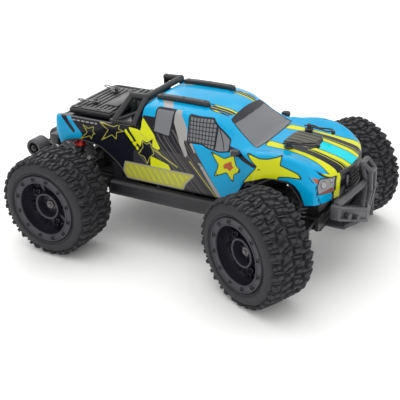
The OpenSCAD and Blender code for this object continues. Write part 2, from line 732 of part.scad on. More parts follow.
spring(-1, 1);  // spring_rl
spring(-1, -1);  // spring_rr
half_shaft(1, 1);  // half_shaft_fl
half_shaft(1, -1);  // half_shaft_fr
half_shaft(-1, 1);  // half_shaft_rl
half_shaft(-1, -1);  // half_shaft_rr
steering_servo();
steering_link();
tie_rod(1);  // tie_rod_l
tie_rod(-1);  // tie_rod_r
chassis_pan();
gearbox(1);  // front_gearbox
gearbox(-1);  // rear_gearbox
shock_tower(1);  // front_shock_tower
shock_tower(-1);  // rear_shock_tower
front_bumper();
wheelie_bar();
wheelie_wheels();
motor();
motor_pinion();
centre_shaft();
battery_pack();
electronics_box();
body_shell();
bed_cage();
bed_box();
body_trim();
body_posts();
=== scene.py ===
"""The looks of a radio-controlled monster truck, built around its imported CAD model.

Lengths are in millimetres, measured from the middle of the wheelbase, and become metres in at().
"""

import json
import math
import random

import bmesh
import bpy
import numpy as np
from mathutils import Matrix, Vector


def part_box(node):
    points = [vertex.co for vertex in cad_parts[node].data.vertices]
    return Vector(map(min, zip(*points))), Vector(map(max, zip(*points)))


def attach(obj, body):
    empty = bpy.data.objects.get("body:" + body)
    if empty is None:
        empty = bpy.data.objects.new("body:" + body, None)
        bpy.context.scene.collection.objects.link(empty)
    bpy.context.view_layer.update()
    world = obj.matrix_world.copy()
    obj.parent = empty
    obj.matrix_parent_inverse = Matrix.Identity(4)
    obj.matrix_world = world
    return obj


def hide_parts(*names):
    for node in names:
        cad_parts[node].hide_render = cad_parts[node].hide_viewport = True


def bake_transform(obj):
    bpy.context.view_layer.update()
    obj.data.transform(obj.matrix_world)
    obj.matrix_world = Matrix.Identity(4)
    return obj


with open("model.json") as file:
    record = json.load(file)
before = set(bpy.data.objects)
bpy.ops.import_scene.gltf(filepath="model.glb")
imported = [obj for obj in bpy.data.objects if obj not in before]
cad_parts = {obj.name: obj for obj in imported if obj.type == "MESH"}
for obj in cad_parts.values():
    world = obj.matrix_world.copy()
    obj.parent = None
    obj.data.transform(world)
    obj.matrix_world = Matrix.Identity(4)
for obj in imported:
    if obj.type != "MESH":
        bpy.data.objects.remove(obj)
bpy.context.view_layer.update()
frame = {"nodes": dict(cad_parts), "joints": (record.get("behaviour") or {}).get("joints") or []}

MM = 0.001
CORNERS = ("fl", "fr", "rl", "rr")
SIDES = (-1, 1)


def centre_of(node):
    low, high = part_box(node)
    return (low + high) / 2


WHEEL_CENTRES = {c: centre_of("tyre_" + c) for c in CORNERS}
MID_X = sum(p.x for p in WHEEL_CENTRES.values()) / len(CORNERS)
JOINTS = {j["name"]: j for j in frame["joints"]}


def at(x, y, z):
    """A point of the truck in metres, in the frame of the CAD model."""
    return Vector((MID_X + x * MM, y * MM, z * MM))


def make_object(name, data):
    made = bpy.data.objects.new(name, data)
    bpy.context.scene.collection.objects.link(made)
    return made


# ---- camera and light ----

CAMERA_AZIMUTH = 30.71
CAMERA_ELEVATION = 26.21
CAMERA_ROLL = -2.2
CAMERA_DISTANCE = 1.0826
CAMERA_LENS = 74.3
CAMERA_TARGET = (-7.5, 0, 38.5)

# Soft lights as (name, place in metres, size in metres, power in watts)
LIGHTS = (
    ("key", (-0.2, 0.2, 1.7), 2.4, 20.0),
    ("front", (1.3, -1.5, 0.8), 1.0, 3.0),
    ("rim", (-1.3, 1.1, 1.0), 1.0, 5.0),
)
WORLD_LIGHT = 0.92


def add_camera():
    a = math.radians(CAMERA_AZIMUTH)
    e = math.radians(CAMERA_ELEVATION)
    r = math.radians(CAMERA_ROLL)
    back = Vector((math.sin(a) * math.cos(e), -math.cos(a) * math.cos(e), math.sin(e)))
    level = Vector((math.cos(a), math.sin(a), 0))
    upright = back.cross(level)
    right = math.cos(r) * level + math.sin(r) * upright
    up = math.cos(r) * upright - math.sin(r) * level
    data = bpy.data.cameras.new("camera")
    data.lens = CAMERA_LENS
    data.clip_start = 0.01
    camera = make_object("camera", data)
    turn = Matrix((right, up, back)).transposed().to_4x4()
    camera.matrix_world = Matrix.Translation(at(*CAMERA_TARGET) + back * CAMERA_DISTANCE) @ turn
    bpy.context.scene.camera = camera


def add_area_light(name, place, size, power):
    """A square soft white light that points at the middle of the truck."""
    data = bpy.data.lights.new(name, "AREA")
    data.size = size
    data.energy = power
    light = make_object(name, data)
    light.location = place
    aim = at(0, 0, 80) - Vector(place)
    light.rotation_mode = "QUATERNION"
    light.rotation_quaternion = aim.to_track_quat("-Z", "Y")


def add_world(strength):
    world = bpy.data.worlds.new("studio")
    world.use_nodes = True
    background = world.node_tree.nodes["Background"]
    background.inputs["Color"].default_value = (1, 1, 1, 1)
    background.inputs["Strength"].default_value = strength
    bpy.context.scene.world = world


# ---- materials ----


class Graph:
    """The node graph of one material."""

    def __init__(self, name, **sockets):
        self.material = bpy.data.materials.new(name)
        self.material.use_nodes = True
        self.nodes = self.material.node_tree.nodes
        self.links = self.material.node_tree.links
        self.shader = self.nodes["Principled BSDF"]
        for socket, value in sockets.items():
            self.shader.inputs[socket.replace("_", " ")].default_value = value

    def feed(self, socket, value):
        if isinstance(value, bpy.types.NodeSocket):
            self.links.new(value, socket)
        elif isinstance(value, tuple) and len(value) == 3 and socket.type == "RGBA":
            socket.default_value = (*value, 1)
        else:
            socket.default_value = value

    def node(self, kind, inputs, output=0, **settings):
        made = self.nodes.new("ShaderNode" + kind)
        for key, value in settings.items():
            setattr(made, key, value)
        for key, value in inputs.items():
            self.feed(made.inputs[key], value)
        return made.outputs[output]

    def maths(self, operation, a, b=0.0, c=0.0):
        return self.node("Math", {0: a, 1: b, 2: c}, operation=operation)

    def coordinates(self):
        return self.node("TexCoord", {}, "Object")

    def noise(self, scale, detail=3.0, stretch=(1, 1, 1)):
        place = self.node("Mapping", {"Vector": self.coordinates(), "Scale": stretch})
        return self.node("TexNoise", {"Vector": place, "Scale": scale, "Detail": detail})

    def ramp(self, value, low, high, start=0.0, end=1.0):
        inputs = {"Value": value, "From Min": low, "From Max": high, "To Min": start, "To Max": end}
        return self.node("MapRange", inputs)

    def mix(self, factor, a, b):
        made = self.nodes.new("ShaderNodeMix")
        made.data_type = "RGBA"
        self.feed(made.inputs[0], factor)
        self.feed(made.inputs[6], a)
        self.feed(made.inputs[7], b)
        return made.outputs[2]

    def attribute(self, name):
        return self.node("Attribute", {}, "Fac", attribute_name=name)

    def line(self, x, z, a, b, width):
        """Distance from (x, z) to a straight stroke from a to b, negative inside the stroke."""
        length = math.dist(a, b)
        dx = (b[0] - a[0]) / length
        dz = (b[1] - a[1]) / length
        across = self.maths("MULTIPLY_ADD", x, -dz, a[0] * dz - a[1] * dx)
        across = self.maths("ABSOLUTE", self.maths("MULTIPLY_ADD", z, dx, across))
        along = self.maths("MULTIPLY_ADD", x, dx, -a[0] * dx - a[1] * dz - length / 2)
        along = self.maths("ABSOLUTE", self.maths("MULTIPLY_ADD", z, dz, along))
        across = self.maths("SUBTRACT", across, width / 2)
        return self.maths("MAXIMUM", across, self.maths("SUBTRACT", along, length / 2))

    def stripes(self, value, start, step, width):
        """Distance to the nearest of evenly spaced strokes, negative inside one."""
        folded = self.maths("PINGPONG", self.maths("SUBTRACT", value, start), step / 2)
        return self.maths("SUBTRACT", folded, width / 2)

    def nearest(self, distances):
        found = distances[0]
        for other in distances[1:]:
            found = self.maths("MINIMUM", found, other)
        return found

    def bump(self, height, distance):
        inputs = {"Height": height, "Distance": distance, "Strength": 1.0}
        self.feed(self.shader.inputs["Normal"], self.node("Bump", inputs))

    def colour(self, value):
        self.feed(self.shader.inputs["Base Color"], value)

    def roughness(self, value):
        self.feed(self.shader.inputs["Roughness"], value)


def scaled(colour, factor):
    return tuple(min(1.0, c * factor) for c in colour)


def surface(name, colour, roughness, grain, depth, contrast=0.25, stretch=(1, 1, 1), **sockets):
    """A material whose tone and gloss vary gently, with a fine grain in its surface."""
    g = Graph(name, **sockets)
    broad = g.noise(45.0, 4.0)
    fine = g.noise(grain, 2.0, stretch)
    dark = scaled(colour, 1 - contrast)
    light = scaled(colour, 1 + contrast)
    g.colour(g.mix(g.ramp(broad, 0.3, 0.7), dark, light))
    g.roughness(g.ramp(fine, 0.25, 0.75, roughness - 0.07, roughness + 0.07))
    g.bump(fine, depth * MM)
    return g.material


def shock_material():
    """Black shock bodies with a red cap round their upper end."""
    g = Graph("shock_body", Metallic=0.6)
    height = g.node("SeparateXYZ", {"Vector": g.coordinates()}, 2)
    tone = g.ramp(g.noise(120.0), 0.3, 0.7, 0.0, 0.35)
    red = g.mix(tone, (0.55, 0.03, 0.02), (0.3, 0.012, 0.01))
    black = g.mix(tone, (0.03, 0.03, 0.032), (0.012, 0.012, 0.013))
    cap = g.ramp(height, 0.1085, 0.1095)
    g.colour(g.mix(cap, black, red))
    g.roughness(g.ramp(g.noise(900.0), 0.3, 0.7, 0.25, 0.4))
    return g.material


WHEEL_PLACE = "wheel_place"


def tyre_material():
    """Dull rubber, with fine radial ribs and a faint bloom on the sidewall."""
    g = Graph("tyre_rubber", Specular_IOR_Level=0.35)
    place = g.node("Attribute", {}, "Vector", attribute_name=WHEEL_PLACE)
    x = g.node("SeparateXYZ", {"Vector": place}, 0)
    z = g.node("SeparateXYZ", {"Vector": place}, 2)
    radius = g.maths("SQRT", g.maths("ADD", g.maths("MULTIPLY", x, x), g.maths("MULTIPLY", z, z)))
    angle = g.maths("ARCTAN2", z, x)
    ribs = g.maths("SINE", g.maths("MULTIPLY", angle, 130.0))
    side = g.maths("MULTIPLY", g.ramp(radius, 0.047, 0.049), g.ramp(radius, 0.0565, 0.055))
    fine = g.noise(1400.0, 3.0)
    broad = g.noise(60.0, 5.0)
    tone = g.ramp(broad, 0.3, 0.7)
    rubber = g.mix(tone, (0.015, 0.015, 0.018), (0.026, 0.025, 0.029))
    g.colour(g.mix(g.ramp(fine, 0.5, 0.8, 0.0, 0.35), rubber, (0.055, 0.054, 0.058)))
    g.roughness(g.ramp(broad, 0.3, 0.7, 0.50, 0.66))
    height = g.maths("ADD", g.maths("MULTIPLY", ribs, g.maths("MULTIPLY", side, 0.6)), fine)
    g.bump(height, 0.12 * MM)
    return g.material


# ---- mesh building ----

ROUNDING_STEPS = 3
TUBE_SIDES = 10
SHARP_ANGLE = 35


def unit(v):
    return v / np.linalg.norm(v)


def cross_frame(direction):
    """Two unit vectors square to a direction, the second as upright as it can be."""
    w = unit(np.asarray(direction, float))
    up = np.array((0.0, 0.0, 1.0)) if abs(w[2]) < 0.95 else np.array((1.0, 0.0, 0.0))
    u = unit(np.cross(up, w))
    return u, np.cross(w, u)


def circle(radius, n):
    turns = 2 * math.pi * np.arange(n) / n
    return radius * np.stack((np.cos(turns), np.sin(turns)), 1)


def rounded_rectangle(w, h, r):
    """The outline of a w by h rectangle with rounded corners, round its middle."""
    n = ROUNDING_STEPS
    r = min(r, w / 2 - 0.01, h / 2 - 0.01)
    points = []
    for k, (sx, sy) in enumerate(((1, 1), (-1, 1), (-1, -1), (1, -1))):
        for i in range(n + 1):
            a = math.pi / 2 * (k + i / n)
            points.append((sx * (w / 2 - r) + r * math.cos(a), sy * (h / 2 - r) + r * math.sin(a)))
    return np.array(points)


def ring_faces(n, rings):
    """The faces between neighbouring rings of n points each."""
    faces = []
    for k in range(rings - 1):
        for i in range(n):
            j = (i + 1) % n
            faces.append((k * n + i, k * n + j, (k + 1) * n + j, (k + 1) * n + i))
    return faces


class Shape:
    """Points in millimetres, and faces, that become one piece."""

    def __init__(self):
        self.points = []
        self.faces = []

    def add(self, points, faces):
        first = len(self.points)
        self.points.extend(tuple(float(v) for v in p) for p in points)
        self.faces.extend(tuple(first + i for i in face) for face in faces)

    def loft(self, rings, caps=True):
        """Skins a row of rings that all have the same number of points."""
        n = len(rings[0])
        faces = ring_faces(n, len(rings))
        if caps:
            faces.append(tuple(range(n))[::-1])
            faces.append(tuple((len(rings) - 1) * n + i for i in range(n)))
        self.add([p for ring in rings for p in ring], faces)

    def swept(self, a, b, outline, chamfer):
        """A straight bar from a to b with the given cross-section and chamfered ends."""
        a = np.asarray(a, float)
        b = np.asarray(b, float)
        u, v = cross_frame(b - a)
        w = unit(b - a)
        shrink = 1 - chamfer / max(1e-6, np.abs(outline).max())
        rings = []
        for start, scale in ((a, shrink), (a + w * chamfer, 1), (b - w * chamfer, 1), (b, shrink)):
            rings.append([start + scale * (p[0] * u + p[1] * v) for p in outline])
        self.loft(rings)

    def rod(self, a, b, radius, n=20, chamfer=0.4):
        self.swept(a, b, circle(radius, n), min(chamfer, radius / 2))

    def beam(self, a, b, w, h, r, chamfer=0.8):
        self.swept(a, b, rounded_rectangle(w, h, r), chamfer)

    def block(self, low, high, r):
        """A box whose edges are rounded by r."""
        low = np.asarray(low, float)
        high = np.asarray(high, float)
        mid = (low + high) / 2
        size = high - low
        r = min(r, size.min() / 2.2)
        rings = []
        for z, inset in (
            (low[2], r), (low[2] + 0.3 * r, 0.3 * r), (low[2] + r, 0),
            (high[2] - r, 0), (high[2] - 0.3 * r, 0.3 * r), (high[2], r),
        ):
            outline = rounded_rectangle(size[0] - 2 * inset, size[1] - 2 * inset, r)
            rings.append([(mid[0] + p[0], mid[1] + p[1], z) for p in outline])
        self.loft(rings)

    def tube(self, path, radius):
        """A round tube along a path."""
        path = np.asarray(path, float)
        ahead = np.gradient(path, axis=0)
        u, _ = cross_frame(ahead[0])
        rings = []
        for p, d in zip(path, ahead):
            w = unit(d)
            u = unit(u - np.dot(u, w) * w)
            v = np.cross(w, u)
            rings.append([p + q[0] * u + q[1] * v for q in circle(radius, TUBE_SIDES)])
        self.loft(rings)

    def side_block(self, side, low, high, r):
        """A block on the given side of the truck, from its corners on the left."""
        near, far = sorted((side * low[1], side * high[1]))
        self.block((low[0], near, low[2]), (high[0], far, high[2]), r)

    def lathe(self, profile, n, centre=(0, 0, 0), closed=False, ripple=None):
        """Turns a profile of (radius, distance along Y) about the Y axis through the centre."""
        turns = 2 * math.pi * np.arange(n) / n
        rings = []
        for r, w in profile:
            lift = np.zeros(n) if ripple is None else ripple(r, w, turns)
            ring = []
            for a, out in zip(turns, lift):
                ring.append((centre[0] + r * math.cos(a), centre[1] + w + out, centre[2] + r * math.sin(a)))
            rings.append(ring)
        if closed:
            rings.append(rings[0])
        self.loft(rings, caps=not closed)

    def spindle(self, x, y, profile, n):
        """Turns a profile of (radius, height) about the upright line through (x, y)."""
        self.loft([[(x + p[0], y + p[1], z) for p in circle(r, n)] for r, z in profile])

    def ball(self, centre, radius, n=16):
        x, y, z = centre
        turns = [math.pi * k / (n // 2) for k in range(1, n // 2)]
        self.spindle(x, y, [(radius * math.sin(a), z - radius * math.cos(a)) for a in turns], n)

    def plate(self, outline, x0, x1, bevel):
        """A plate square to X, whose outline is in (y, z)."""
        outline = np.asarray(outline, float)
        mid = outline.mean(0)
        inner = outline + unit_rows(mid - outline) * bevel
        rings = []
        for x, ring in ((x0, inner), (x0 + bevel, outline), (x1 - bevel, outline), (x1, inner)):
            rings.append([(x, p[0], p[1]) for p in ring])
        self.loft(rings)


def unit_rows(v):
    return v / np.linalg.norm(v, axis=1)[:, None]


def smooth_path(points, steps):
    """A curve through the points (Catmull-Rom)."""
    p = np.asarray(points, float)
    n = len(p)
    made = []
    for i in range(n - 1):
        a, b, c, d = p[max(i - 1, 0)], p[i], p[i + 1], p[min(i + 2, n - 1)]
        bend = 2 * a - 5 * b + 4 * c - d
        twist = 3 * b - a - 3 * c + d
        for k in range(steps):
            t = k / steps
            made.append(0.5 * (2 * b + (c - a) * t + bend * t**2 + twist * t**3))
    made.append(p[-1])
    return np.array(made)


def tidy_mesh(mesh, angle):
    bm = bmesh.new()
    bm.from_mesh(mesh)
    bmesh.ops.recalc_face_normals(bm, faces=bm.faces)
    bm.to_mesh(mesh)
    bm.free()
    mesh.shade_smooth()
    mesh.set_sharp_from_angle(angle=math.radians(angle))


def add_piece(name, shape, material, body, nodes=()):
    """A piece that stands where its points say, and rides on a CAD body."""
    mesh = bpy.data.meshes.new(name)
    mesh.from_pydata([at(*p) for p in shape.points], [], shape.faces)
    tidy_mesh(mesh, SHARP_ANGLE)
    enlist(name, mesh, material, body, nodes)


def enlist(name, mesh, material, body, nodes):
    """Makes an object of a mesh, and puts it on its body in the place of its CAD nodes."""
    if not mesh.materials:
        mesh.materials.append(material)
    made = make_object(name, mesh)
    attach(made, body)
    if nodes:
        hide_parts(*nodes)
    return made


def add_wheel_piece(name, shape, place, material, corner, nodes, angle):
    """A piece modelled round its own axle, which keeps those coordinates for its material."""
    local = np.array(shape.points) * MM
    turn = np.array(place.to_3x3())
    mesh = bpy.data.meshes.new(name)
    mesh.from_pydata((local @ turn.T + np.array(place.translation)).tolist(), [], shape.faces)
    tidy_mesh(mesh, angle)
    layer = mesh.attributes.new(WHEEL_PLACE, "FLOAT_VECTOR", "POINT")
    layer.data.foreach_set("vector", local.astype(np.float32).ravel())
    enlist(name, mesh, material, "wheel_" + corner, nodes)


# ---- wheels ----

TYRE_R = (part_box("tyre_rl")[1].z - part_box("tyre_rl")[0].z) / 2 / MM
CROWN_HALF = 23.0
SHOULDER_R = 8.0
TREAD_DEPTH = 4.6
PITCHES = 17
PITCH = 2 * math.pi * TYRE_R / PITCHES
RIB_COUNT = 72

# Carcass under the lugs, from one bead over the tread to the other, as (radius, across)
CARCASS_HALF = (
    (60.8, 0), (60.8, 10), (60.6, 20), (59.6, 25.0), (57.6, 28.0), (55.2, 29.4), (52.4, 30.0),
    (49.4, 30.1), (46.8, 29.4), (45.0, 28.4), (44.2, 27.2), (44.2, 25),
)

# Lugs of one pitch as (start of the near end, start of the far end, width, near u, far u, height),
# where u runs across the tread from its middle, the starts and the width are shares of the pitch,
# and the near end is the one closer to the middle
LUGS = (
    (0.02, -0.05, 0.24, 15.5, 31.6, 0.0),
    (0.50, 0.44, 0.22, 18.5, 30.0, -0.4),
    (0.27, 0.22, 0.13, 20.0, 29.0, -1.6),
    (0.76, 0.70, 0.13, 17.0, 28.0, -1.6),
    (0.04, 0.16, 0.25, 1.0, 13.6, 0.0),
    (0.55, 0.66, 0.23, 3.2, 16.4, -0.2),
    (0.34, 0.40, 0.12, 5.0, 15.0, -1.8),
    (0.84, 0.92, 0.11, 0.6, 11.0, -1.8),
)
JITTER = random.Random(7)


def crown(u, height):
    """A point (radius, across) of the tread's outer surface at u, moved outwards by height."""
    side = math.copysign(1.0, u)
    over = max(0.0, abs(u) - CROWN_HALF) / SHOULDER_R
    r = TYRE_R - SHOULDER_R + (SHOULDER_R + height) * math.cos(over)
    w = min(abs(u), CROWN_HALF) + (SHOULDER_R + height) * math.sin(over)
    return r, side * w


def tread_point(s, u, height):
    r, w = crown(u, height)
    a = s / TYRE_R
    return r * math.cos(a), w, r * math.sin(a)


def add_lug(shape, start, skew, width, u0, u1, top):
    """One lug, from u0 to u1 across the tread, which leans by skew along it."""
    steps = max(2, int(abs(u1 - u0) / 4) + 1)
    rings = []
    for height, grow in ((-TREAD_DEPTH, 0.7), (top - 0.7, 0.1), (top, -0.5)):
        left = []
        right = []
        for k in range(steps):
            t = k / (steps - 1)
            u = u0 + (u1 - u0) * t
            end = grow * (1 if k == steps - 1 else -1 if k == 0 else 0) * math.copysign(1, u1 - u0)
            drop = height + (1.2 if height < top - 1 else 0) * max(0.0, abs(u) - CROWN_HALF) / SHOULDER_R
            s = start + skew * t
            left.append(tread_point(s - grow, u + end, drop))
            right.append(tread_point(s + width + grow, u + end, drop))
        rings.append(left + right[::-1])
    n = 2 * steps
    faces = ring_faces(n, len(rings))
    for i in range(steps - 1):
        faces.append((2 * n + i, 2 * n + i + 1, 2 * n + n - 2 - i, 2 * n + n - 1 - i))
        faces.append((n - 1 - i, n - 2 - i, i + 1, i))
    shape.add([p for ring in rings for p in ring], faces)


def sidewall_ripple(r, w, turns):
    """Short radial ribs on the tyre's sidewall."""
    if not 50.5 < r < 56.5:
        return np.zeros(len(turns))
    return math.copysign(0.22, w) * np.maximum(0, np.cos(RIB_COUNT * turns))


def add_stepped_lug(shape, start, skew, width, u0, u1, top):
    """A lug whose two halves are set off along the tread, with a low foot beside it."""
    middle = u0 + (u1 - u0) * 0.52
    add_lug(shape, start - 0.8, skew, width + 1.6, u0, u1, top - 2.4)
    add_lug(shape, start, skew * 0.5, width * 0.78, u0, middle, top)
    add_lug(shape, start + skew * 0.5 + width * 0.24, skew * 0.5, width * 0.76, middle, u1, top)


def tyre_shape():
    shape = Shape()
    half = smooth_path(CARCASS_HALF, 2)
    profile = [(r, -w) for r, w in half[::-1]] + [(r, w) for r, w in half[1:]]
    inner = [(44.2, 23), (50, 24), (55, 18), (56, 0), (55, -18), (50, -24), (44.2, -23)]
    shape.lathe(profile + inner, RIB_COUNT * 4, closed=True, ripple=sidewall_ripple)
    for side in SIDES:
        for r in (46.6, 48.2):
            ring = [(r - 0.4, 29.0), (r - 0.2, 30.2), (r + 0.2, 30.2), (r + 0.4, 29.0)]
            shape.lathe([(p, side * q) for p, q in ring], 96, closed=True)
    for k in range(PITCHES):
        for side in SIDES:
            shift = PITCH * (k + (0.5 if side > 0 else 0))
            for near, far, width, u0, u1, top in LUGS:
                skew = (far - near) * PITCH + JITTER.uniform(-0.8, 0.8)
                start = shift + near * PITCH + JITTER.uniform(-0.5, 0.5)
                outer = side * (u1 + JITTER.uniform(-0.7, 0.7))
                make = add_stepped_lug if top > -1 else add_lug
                make(shape, start, skew, width * PITCH, side * u0, outer, top)
    return shape


BEADLOCK_OUT = 29.4
BEADLOCK_IN = 26.0
BOLT_CIRCLE = 39.3
BOLTS = 12
WEB_FACE = 9.0
HUB_RING_R = 17.5
HUB_RING_FACE = 20.8
SPOKES = 5
DISH_R = 34.0


def rim_shape():
    """The barrel, the deep dish with its webs and hub ring, and the beadlock ring."""
    shape = Shape()
    barrel = [
        (43.8, -30), (43.8, BEADLOCK_IN), (39.2, BEADLOCK_IN), (38.6, 16), (37.0, 9.5), (34.0, 6.0),
        (HUB_RING_R + 0.8, 6.5), (HUB_RING_R, 8), (HUB_RING_R, HUB_RING_FACE - 0.5),
        (HUB_RING_R - 0.5, HUB_RING_FACE), (HUB_RING_R - 2.3, HUB_RING_FACE),
        (HUB_RING_R - 2.9, HUB_RING_FACE - 0.6), (HUB_RING_R - 3.4, 9), (8.5, 8.4), (8.5, 10.0),
        (4.2, 10.0), (4.2, 2), (16, 2), (30, 3.0), (38, 4.0), (39.4, 2), (39.4, -28), (41, -30),
    ]
    shape.lathe(barrel, 96, closed=True)
    ring = [
        (DISH_R + 0.4, BEADLOCK_IN + 0.2), (DISH_R, BEADLOCK_OUT - 1.2), (DISH_R + 0.8, BEADLOCK_OUT),
        (DISH_R + 2.0, BEADLOCK_OUT), (DISH_R + 2.6, BEADLOCK_OUT - 0.7),
        (DISH_R + 7.4, BEADLOCK_OUT - 0.7), (DISH_R + 8.0, BEADLOCK_OUT - 0.1),
        (43.2, BEADLOCK_OUT), (43.9, BEADLOCK_OUT - 0.8), (43.9, BEADLOCK_IN + 0.2),
    ]
    shape.lathe(ring, 96, closed=True)
    for k in range(SPOKES):
        a = 2 * math.pi * (k + 0.5) / SPOKES
        for turn in (-0.19, 0.19):
            add_boss(shape, 30.2, a + turn)
            add_web_rib(shape, a + turn * 2.1, WEB_FACE + 3.2)
        add_boss(shape, 23.0, a)
        add_web_rib(shape, a + math.pi / SPOKES, WEB_FACE + 1.0)
    for k in range(2 * SPOKES):
        a = math.pi * k / SPOKES
        near = (8.0 * math.cos(a), 9.0, 8.0 * math.sin(a))
        far = (14.4 * math.cos(a), 9.6, 14.4 * math.sin(a))
        shape.beam(near, far, 2.0, 2.4, 0.4, 0.2)
    return shape


def add_boss(shape, r, a):
    """A raised eye on the web of the rim."""
    x = r * math.cos(a)
    z = r * math.sin(a)
    top = WEB_FACE + 3.6
    eye = [(3.3, top - 8), (3.3, top - 0.6), (2.8, top), (1.7, top), (1.5, top - 3)]
    shape.lathe(eye, 20, (x, 0, z), closed=True)


def add_web_rib(shape, a, face):
    """A radial rib from the hub ring to the barrel."""
    near = (HUB_RING_R - 0.5, 38.4)
    points = [(r * math.cos(a), face - 2.5, r * math.sin(a)) for r in near]
    shape.beam(points[0], points[1], 2.6, 5.0, 0.5, 0.2)


def bolt_shape():
    """The beadlock bolts: button heads, each with a dark socket and a raised seat."""
    shape = Shape()
    for k in range(BOLTS):
        a = 2 * math.pi * (k + 0.5) / BOLTS
        x = BOLT_CIRCLE * math.cos(a)
        z = BOLT_CIRCLE * math.sin(a)
        top = BEADLOCK_OUT - 0.5
        head = [
            (2.6, top - 0.6), (2.6, top + 0.5), (2.1, top + 1.3), (1.4, top + 1.4), (1.3, top + 0.1),
        ]
        shape.lathe(head, 16, (x, 0, z))
    return shape


def nut_shape():
    """Wheel nut with its flange, and the end of the stub axle."""
    shape = Shape()
    shape.lathe([(3.9, 10), (7.0, 10), (7.0, 10.8), (6.2, 11.2), (3.9, 11.2)], 32, closed=True)
    shape.lathe([(5.8, 11), (5.8, 14.4), (5.2, 14.9), (3.2, 15.0), (3.0, 12.0)], 6)
    shape.lathe([(2.6, 8), (2.6, 16.2), (2.0, 16.8)], 20)
    return shape


def wheel_matrix(corner):
    """The place of a wheel, its own Y pointing out along the axle."""
    word = {"f": "front", "r": "rear"}[corner[0]] + "_" + {"l": "left", "r": "right"}[corner[1]]
    axis = Vector(JOINTS[word + "_wheel_spin"]["axis"]).normalized()
    outward = axis if corner[1] == "l" else -axis
    up = Vector((0, 0, 1))
    turn = Matrix((outward.cross(up), outward, up)).transposed().to_4x4()
    return Matrix.Translation(WHEEL_CENTRES[corner]) @ turn


def add_wheels(materials):
    kinds = (
        ("tread", tyre_shape(), "rubber", "tyre_rubber", "tyre_", 40),
        ("dish", rim_shape(), "rim", "rim_plastic", "rim_", 30),
        ("bolts", bolt_shape(), "bolt", "rim_plastic", None, 30),
        ("nut", nut_shape(), "nut", "steel_shaft", None, 30),
    )
    for corner in CORNERS:
        place = wheel_matrix(corner)
        for name, shape, key, slot, node, angle in kinds:
            nodes = [node + corner] if node else []
            add_wheel_piece(name + "_" + corner, shape, place, materials[key], corner, nodes, angle)


# ---- body shell ----

# Parts of the cross-sections that many of them share
BED_RAIL = ((62, 155.5), (57, 151), (47, 149), (0, 149))
SILL = ((66, 84), (67, 100))

# Cross-sections from tail to nose: x, then half of the outline from the lower edge past the
# waist, rail and window to the middle of the roof or hood, as (distance from the middle, height)
SECTIONS = (
    (-178, ((62, 114), (66, 122), (68, 135), (66, 153), (60, 154), (55, 151), (24, 149), (0, 149))),
    (-171, ((69, 117), (70, 124), (70, 136), (68, 154), *BED_RAIL)),
    (-160, ((70, 123), (70.5, 128), (70, 138), (68, 154), *BED_RAIL)),
    (-142, ((70, 127), (70.5, 131), (70, 139), (68, 154), *BED_RAIL)),
    (-115, ((69.5, 124), (70, 129), (70, 138), (68, 154), *BED_RAIL)),
    (-95, ((68, 112), (69, 121), (69, 136), (68, 154), *BED_RAIL)),
    (-82, ((67, 100), (68, 112), (68.5, 132), (67.5, 154), *BED_RAIL)),
    (-72, (*SILL, (68, 130), (67.5, 154), *BED_RAIL)),
    (-56, (*SILL, (68, 130), (67.5, 153), (62, 155.5), (57, 152), (40, 150), (0, 149))),
    (-46, (*SILL, (68, 128), (67, 150), (65, 154), (57, 181), (40, 184), (0, 185.5))),
    (-15, (*SILL, (68, 126), (67, 147), (65, 151), (57, 181), (36, 185), (0, 187))),
    (20, (*SILL, (68, 126), (67, 146), (65, 149), (57, 180), (36, 184.5), (0, 187))),
    (45, (*SILL, (68, 125), (67, 145), (65, 148), (54, 176), (38, 181), (0, 184.5))),
    (62, (*SILL, (68, 125), (67, 144), (65, 147), (50, 168), (39, 175.5), (0, 180))),
    (76, (*SILL, (68, 125), (67, 144), (65, 147), (52, 158), (42, 165), (0, 170))),
    (86, (*SILL, (68, 124), (67, 144), (63, 148), (56, 152), (45, 158), (0, 163))),
    (91, ((66, 104), (67, 108), (68, 124), (67, 145), (62, 149), (55, 151), (46, 154.5), (0, 159))),
    (98, ((67.5, 111), (68, 114), (69, 125), (67, 147), (60, 151), (54, 150), (48, 150), (0, 154))),
    (107, ((72, 113), (72.5, 117), (72, 127), (67, 149), (58, 151.5), (50, 149), (25, 149.5), (0, 150))),
    (119, ((72.5, 120), (73, 124), (72.5, 131), (67, 152), (57, 152), (46, 148.5), (25, 149), (0, 149.5))),
    (132, ((72.5, 126), (73, 129), (72.5, 134), (67, 153.5), (57, 152.5), (44, 147.5), (25, 148.5),
           (0, 149))),
    (146, ((72.5, 126), (73, 129), (72.5, 134), (66, 153), (56, 151), (42, 146), (25, 147), (0, 147.5))),
    (158, ((72.5, 116), (73, 121), (72.5, 131), (65, 150), (55, 148), (42, 144), (25, 145.5), (0, 146))),
    (170, ((72.5, 102), (73, 109), (72.5, 125), (64, 144), (54, 143.5), (42, 141.5), (25, 143), (0, 143.5))),
    (180, ((71, 103), (71.5, 110), (71, 122), (62, 137), (52, 139), (42, 139), (24, 140.5), (0, 141))),
    (189, ((57, 103), (57.5, 110), (57, 122), (52, 132.5), (45, 135), (38, 136), (22, 138), (0, 138.5))),
    (196, ((36, 103), (36.5, 110), (36, 122), (33, 129.5), (28, 132), (24, 133.5), (14, 135), (0, 135.5))),
    (201, ((20, 104), (20, 110), (19.5, 121), (17, 127), (15, 130.5), (12, 132), (8, 133), (0, 133.5))),
)
GUIDES = 8
CORNER_ROUND = (0, 3, 14, 5, 3, 6, 12, 24)
SPANS = (7, 15, 12, 6, 17, 11, 20)
ROUND_STEPS = 4
STATION_STEP = 1.5
SHELL_SKIN = 1.2

